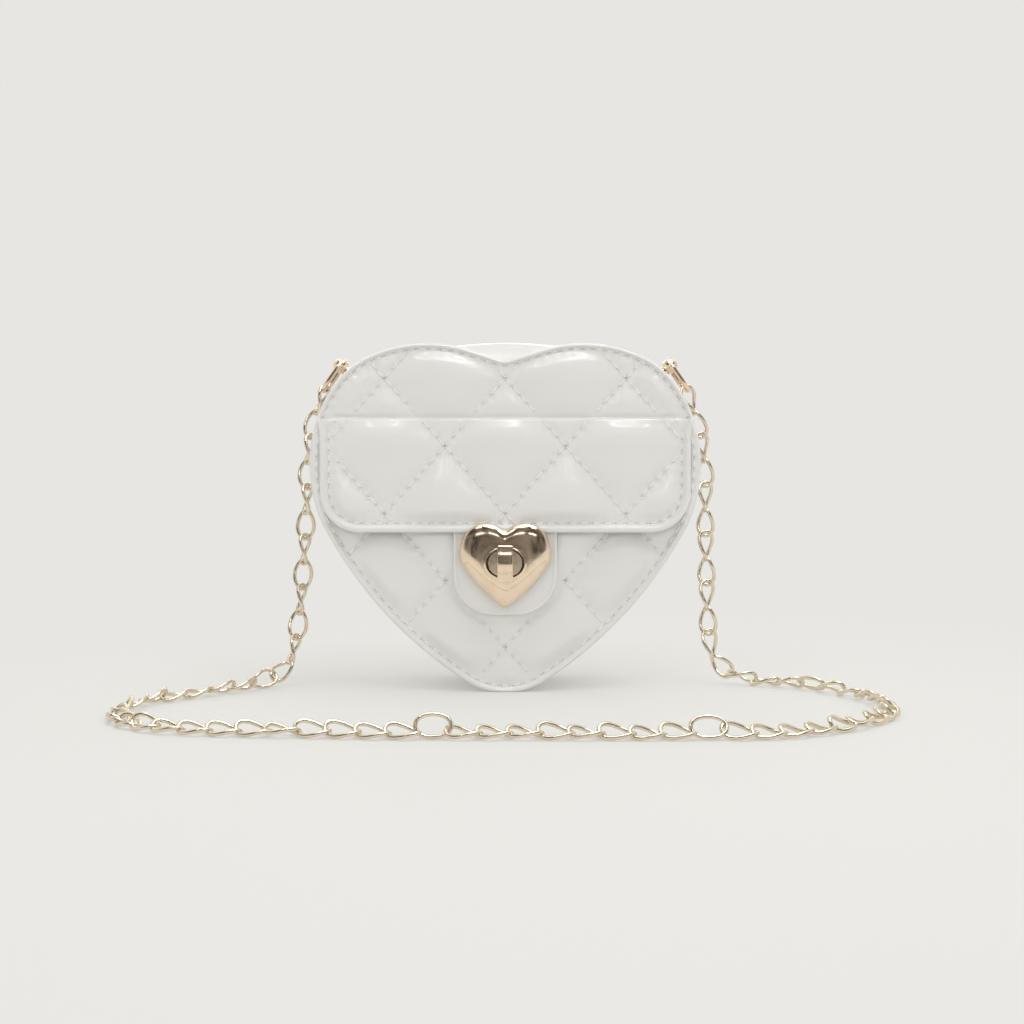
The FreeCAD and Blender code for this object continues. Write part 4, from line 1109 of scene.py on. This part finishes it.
def sewAll():
    # a seam is a run of stitches with its level, its side and how dark the painted shade of its needle holes
    # is;
    # quilt lines are kept where they lie inside their own panel's outline and clear of the crease, the mouth
    # and the tongue
    frontEdge, frontWays = stitchMarks(closedLoop(inset(heartLine, frontPad["stitch"])))
    backEdge, backWays = stitchMarks(closedLoop(inset(heartLine, backPad["stitch"])))
    yokeEdge, yokeWays = stitchMarks(inset(upperLine, flapPad["yokeStitch"]))
    flapEdge, flapWays = [rows[1:-1] for rows in stitchMarks(inset(lowerLine, flapPad["flapStitch"]))]
    lowEdge = frontEdge[:, 1] < creaseHeight - 1
    lowLevel = frontPad["seam"] + frontPad["seamRise"] * besideFlap(frontEdge[:, 1])
    lines, ways = quiltLines()
    height = lines[:, 1]
    onPanel = insideLine(inset(heartLine, quiltClear["panel"]), lines)
    flapClear = roundLoop(inset(upperLine, quiltClear["yoke"]), inset(lowerLine, quiltClear["flap"]))
    onYokeFlap = insideLine(flapClear, lines) & (np.abs(height - creaseHeight) > quiltClear["crease"])
    onYoke, onLowFlap = onYokeFlap & (height > creaseHeight), onYokeFlap & (height < creaseHeight)
    grow = quiltClear["tongue"]
    tongueLine = roundedOutline(lock["tongueHalf"] + grow, lock["tongueLow"] - grow, quiltClear["tongueTop"],
                                lock["tongueCorner"] + grow, lock["tongueTop"])[0]
    hidden = insideLine(inset(heartLine, quiltClear["hidden"]), lines) & (height < quiltClear["hiddenTop"])
    hidden = hidden & ~insideLine(inset(mouthLine, -quiltClear["mouth"]), lines)
    covered = insideLine(roundLoop(upperLine[0], lowerLine[0]), lines)
    onFront = (onPanel & ~covered | hidden) & ~insideLine(tongueLine, lines)
    borderShade, quiltShade = thread["borderHoleShade"], thread["quiltHoleShade"]
    purseSeams = [(frontEdge[lowEdge], frontWays[lowEdge], lowLevel[lowEdge], -1, borderShade),
                  (yokeEdge, yokeWays, flapPad["yokeSeam"], -1, borderShade),
                  (lines[onFront], ways[onFront], frontPad["seam"], -1, quiltShade),
                  (lines[onYoke], ways[onYoke], flapPad["yokeSeam"], -1, quiltShade),
                  (backEdge, backWays, backPad["seam"], 1, borderShade),
                  (lines[onPanel], ways[onPanel], backPad["seam"], 1, quiltShade)]
    flapSeams = [(flapEdge, flapWays, flapPad["flapSeam"], -1, borderShade),
                 (lines[onLowFlap], ways[onLowFlap], flapPad["flapSeam"], -1, quiltShade)]
    dark = np.repeat(thread["dark"], thread["sides"])  # painted shade of one stitch, from hole to hole
    for name, seams, body in (("purseStitching", purseSeams, "purse"), ("flapStitching", flapSeams, "flap")):
        points, faces = joined([stitches(*seam[:4]) for seam in seams])
        # the painted hole shade of every stitch, for the thread's hole attribute
        hole = np.concatenate([np.tile(dark * seam[4], len(seam[0])) for seam in seams])
        newPiece(name, points, faces, body, "white_patent", (), {"hole": hole}, threadMaterial)


sewAll()


# Floor, backdrop, lamps


studio = {"halfWidth": 2.2, "front": -0.64, "back": 0.75, "bend": 0.5, "high": 1.9, "sunk": 0.0002,
          "pale": (0.80, 0.795, 0.77), "wall": (0.80, 0.79, 0.76), "nearGlow": 0.38,
          "glowReach": (0.14, 0.42), "glowMiddle": (0, -0.05, 0)}


def sweepMaterial():
    # pale and matte; to the camera and the metal it goes over into the plain pale wall, away from the purse
    material, tree, shader = newMaterial("paleSweep", studio["pale"], 0.7)
    tone = ramp(tree, noiseOn(tree, 3.0), tuple(0.99 * k for k in studio["pale"]), studio["pale"])
    tree.links.new(tone, shader.inputs["Base Color"])
    shader.inputs["Specular IOR Level"].default_value = 0.2
    path = addNode(tree, "ShaderNodeLightPath")
    seen = combined(tree, "MAXIMUM", path.outputs["Is Camera Ray"], path.outputs["Is Glossy Ray"])
    place = addNode(tree, "ShaderNodeTexCoord")
    away = addNode(tree, "ShaderNodeVectorMath", {"operation": "DISTANCE"})
    away.inputs[1].default_value = studio["glowMiddle"]
    tree.links.new(place.outputs["Object"], away.inputs[0])
    far = ramp(tree, away.outputs["Value"], studio["nearGlow"], 1.0, *studio["glowReach"])
    glow = addNode(tree, "ShaderNodeEmission", Color=(*studio["wall"], 1), Strength=1.0)
    mix = addNode(tree, "ShaderNodeMixShader")
    tree.links.new(combined(tree, "MULTIPLY", far, seen), mix.inputs["Fac"])
    tree.links.new(shader.outputs["BSDF"], mix.inputs[1])
    tree.links.new(glow.outputs["Emission"], mix.inputs[2])
    tree.links.new(mix.outputs["Shader"], tree.nodes["Material Output"].inputs["Surface"])
    return material


def floorSweep():
    # a profile of floor, quarter circle and wall, carried across the width
    turn = np.linspace(0, np.pi / 2, 24)
    bend = np.stack([studio["back"] + studio["bend"] * np.sin(turn), studio["bend"] * (1 - np.cos(turn))], -1)
    wallTop = [studio["back"] + studio["bend"], studio["high"]]
    profile = np.concatenate([[[studio["front"], 0]], bend, [wallTop]]) - [0, studio["sunk"]]
    points = [np.c_[np.full(len(profile), x), profile] for x in (-studio["halfWidth"], studio["halfWidth"])]
    mesh = bpy.data.meshes.new("floorSweep")
    mesh.from_pydata(np.concatenate(points).tolist(), [], gridFaces(2, len(profile)).tolist())
    mesh.polygons.foreach_set("use_smooth", np.ones(len(mesh.polygons), bool))
    mesh.materials.append(sweepMaterial())
    sweep = bpy.data.objects.new("floorSweep", mesh)
    scene.collection.objects.link(sweep)


def softLamp(name, place, aim, size, power, mirrored=True, lighting=True):
    # a rectangle of light that the camera doesn't see; it may be kept out of the gloss or the plain light
    lamp = bpy.data.lights.new(name, "AREA")
    lamp.shape = "RECTANGLE"
    lamp.size, lamp.size_y = size
    lamp.energy = power
    holder = bpy.data.objects.new(name, lamp)
    holder.location = place
    holder.rotation_euler = (Vector(aim) - Vector(place)).to_track_quat("-Z", "Y").to_euler()
    holder.visible_camera = False
    holder.visible_glossy = mirrored
    holder.visible_diffuse = lighting
    scene.collection.objects.link(holder)


floorSweep()
softLamp("topLamp", (0.4, -0.15, 1.15), (0, 0.0, 0.05), (0.8, 0.6), 2.4)
softLamp("backLamp", (-0.5, 0.8, 0.85), (0, 0.03, 0.05), (0.9, 0.6), 0.8)
softLamp("leftLamp", (-0.75, -0.85, 0.5), (0, 0, 0.07), (0.9, 0.8), 1.1, False)
softLamp("rightLamp", (0.78, -0.82, 0.5), (0, 0, 0.07), (0.9, 0.8), 1.1, False)
spots = [(-0.36, -0.55, 0.85), (0.08, -0.55, 0.85), (0.44, -0.55, 0.85),
         (-0.34, -1.1, 0.55), (0.03, -1.1, 0.55), (0.4, -1.1, 0.55)]
for number, place in enumerate(spots):  # small ceiling lights, which glint on the gloss
    softLamp(f"ceilingLight{number}", place, (0, 0, 0.09), (0.24, 0.07), 0.4 if number < 3 else 0.2)
softLamp("backFill", (0.6, 0.75, 0.62), (0, 0.02, 0.07), (0.8, 0.6), 0.65, False)
for number, across in enumerate((-0.36, 0.04, 0.42)):
    softLamp(f"backLight{number}", (across, 1.0, 0.5), (0, 0.02, 0.09), (0.24, 0.07), 0.25)
# of these two only the glints show
softLamp("topGloss", (0.05, -0.1, 1.1), (0.05, -0.1, 0), (1.0, 0.9), 2.8, True, False)
softLamp("topStrip", (0.12, -0.45, 1.03), (0, -0.03, 0.12), (0.66, 0.06), 2.0, True, False)


# Room round the stage


room = {"light": (0.72, 0.715, 0.70), "dark": (0.05, 0.046, 0.04), "mid": (0.34, 0.32, 0.29), "clutter": 4.0,
        "clutterSpan": (0.4, 0.75), "darkWay": (0.0, -0.95, 0.30), "darkSpan": (0.2, 0.6)}


def studioRoom():
    # gloss mirrors a room that is dark and cluttered above and behind the camera, the rest is lit evenly, and
    # the camera itself sees the wall's colour all round
    world = bpy.data.worlds.new("studioRoom")
    scene.world = world
    world.use_nodes = True
    tree = world.node_tree
    place = addNode(tree, "ShaderNodeTexCoord").outputs["Generated"]
    facing = addNode(tree, "ShaderNodeVectorMath", {"operation": "DOT_PRODUCT"})
    facing.inputs[1].default_value = room["darkWay"]
    noise = addNode(tree, "ShaderNodeTexNoise", Scale=room["clutter"], Detail=4.0)
    path = addNode(tree, "ShaderNodeLightPath")
    dark, gloss, mix = [addNode(tree, "ShaderNodeMix", {"data_type": "RGBA"}) for step in range(3)]
    dark.inputs["A"].default_value = gloss.inputs["A"].default_value = (*room["light"], 1)
    mix.inputs["B"].default_value = (*studio["wall"], 1)
    clutter = ramp(tree, noise.outputs["Fac"], room["dark"], room["mid"], *room["clutterSpan"])
    darkness = ramp(tree, facing.outputs["Value"], 0.0, 1.0, *room["darkSpan"])
    links = [(place, facing.inputs[0]), (place, noise.inputs["Vector"]),
             (clutter, dark.inputs["B"]), (darkness, dark.inputs["Factor"]),
             (dark.outputs["Result"], gloss.inputs["B"]), (gloss.outputs["Result"], mix.inputs["A"]),
             (path.outputs["Is Glossy Ray"], gloss.inputs["Factor"]),
             (path.outputs["Is Camera Ray"], mix.inputs["Factor"]),
             (mix.outputs["Result"], tree.nodes["Background"].inputs["Color"])]
    for source, target in links:
        tree.links.new(source, target)


studioRoom()
print("stage and lamps set")
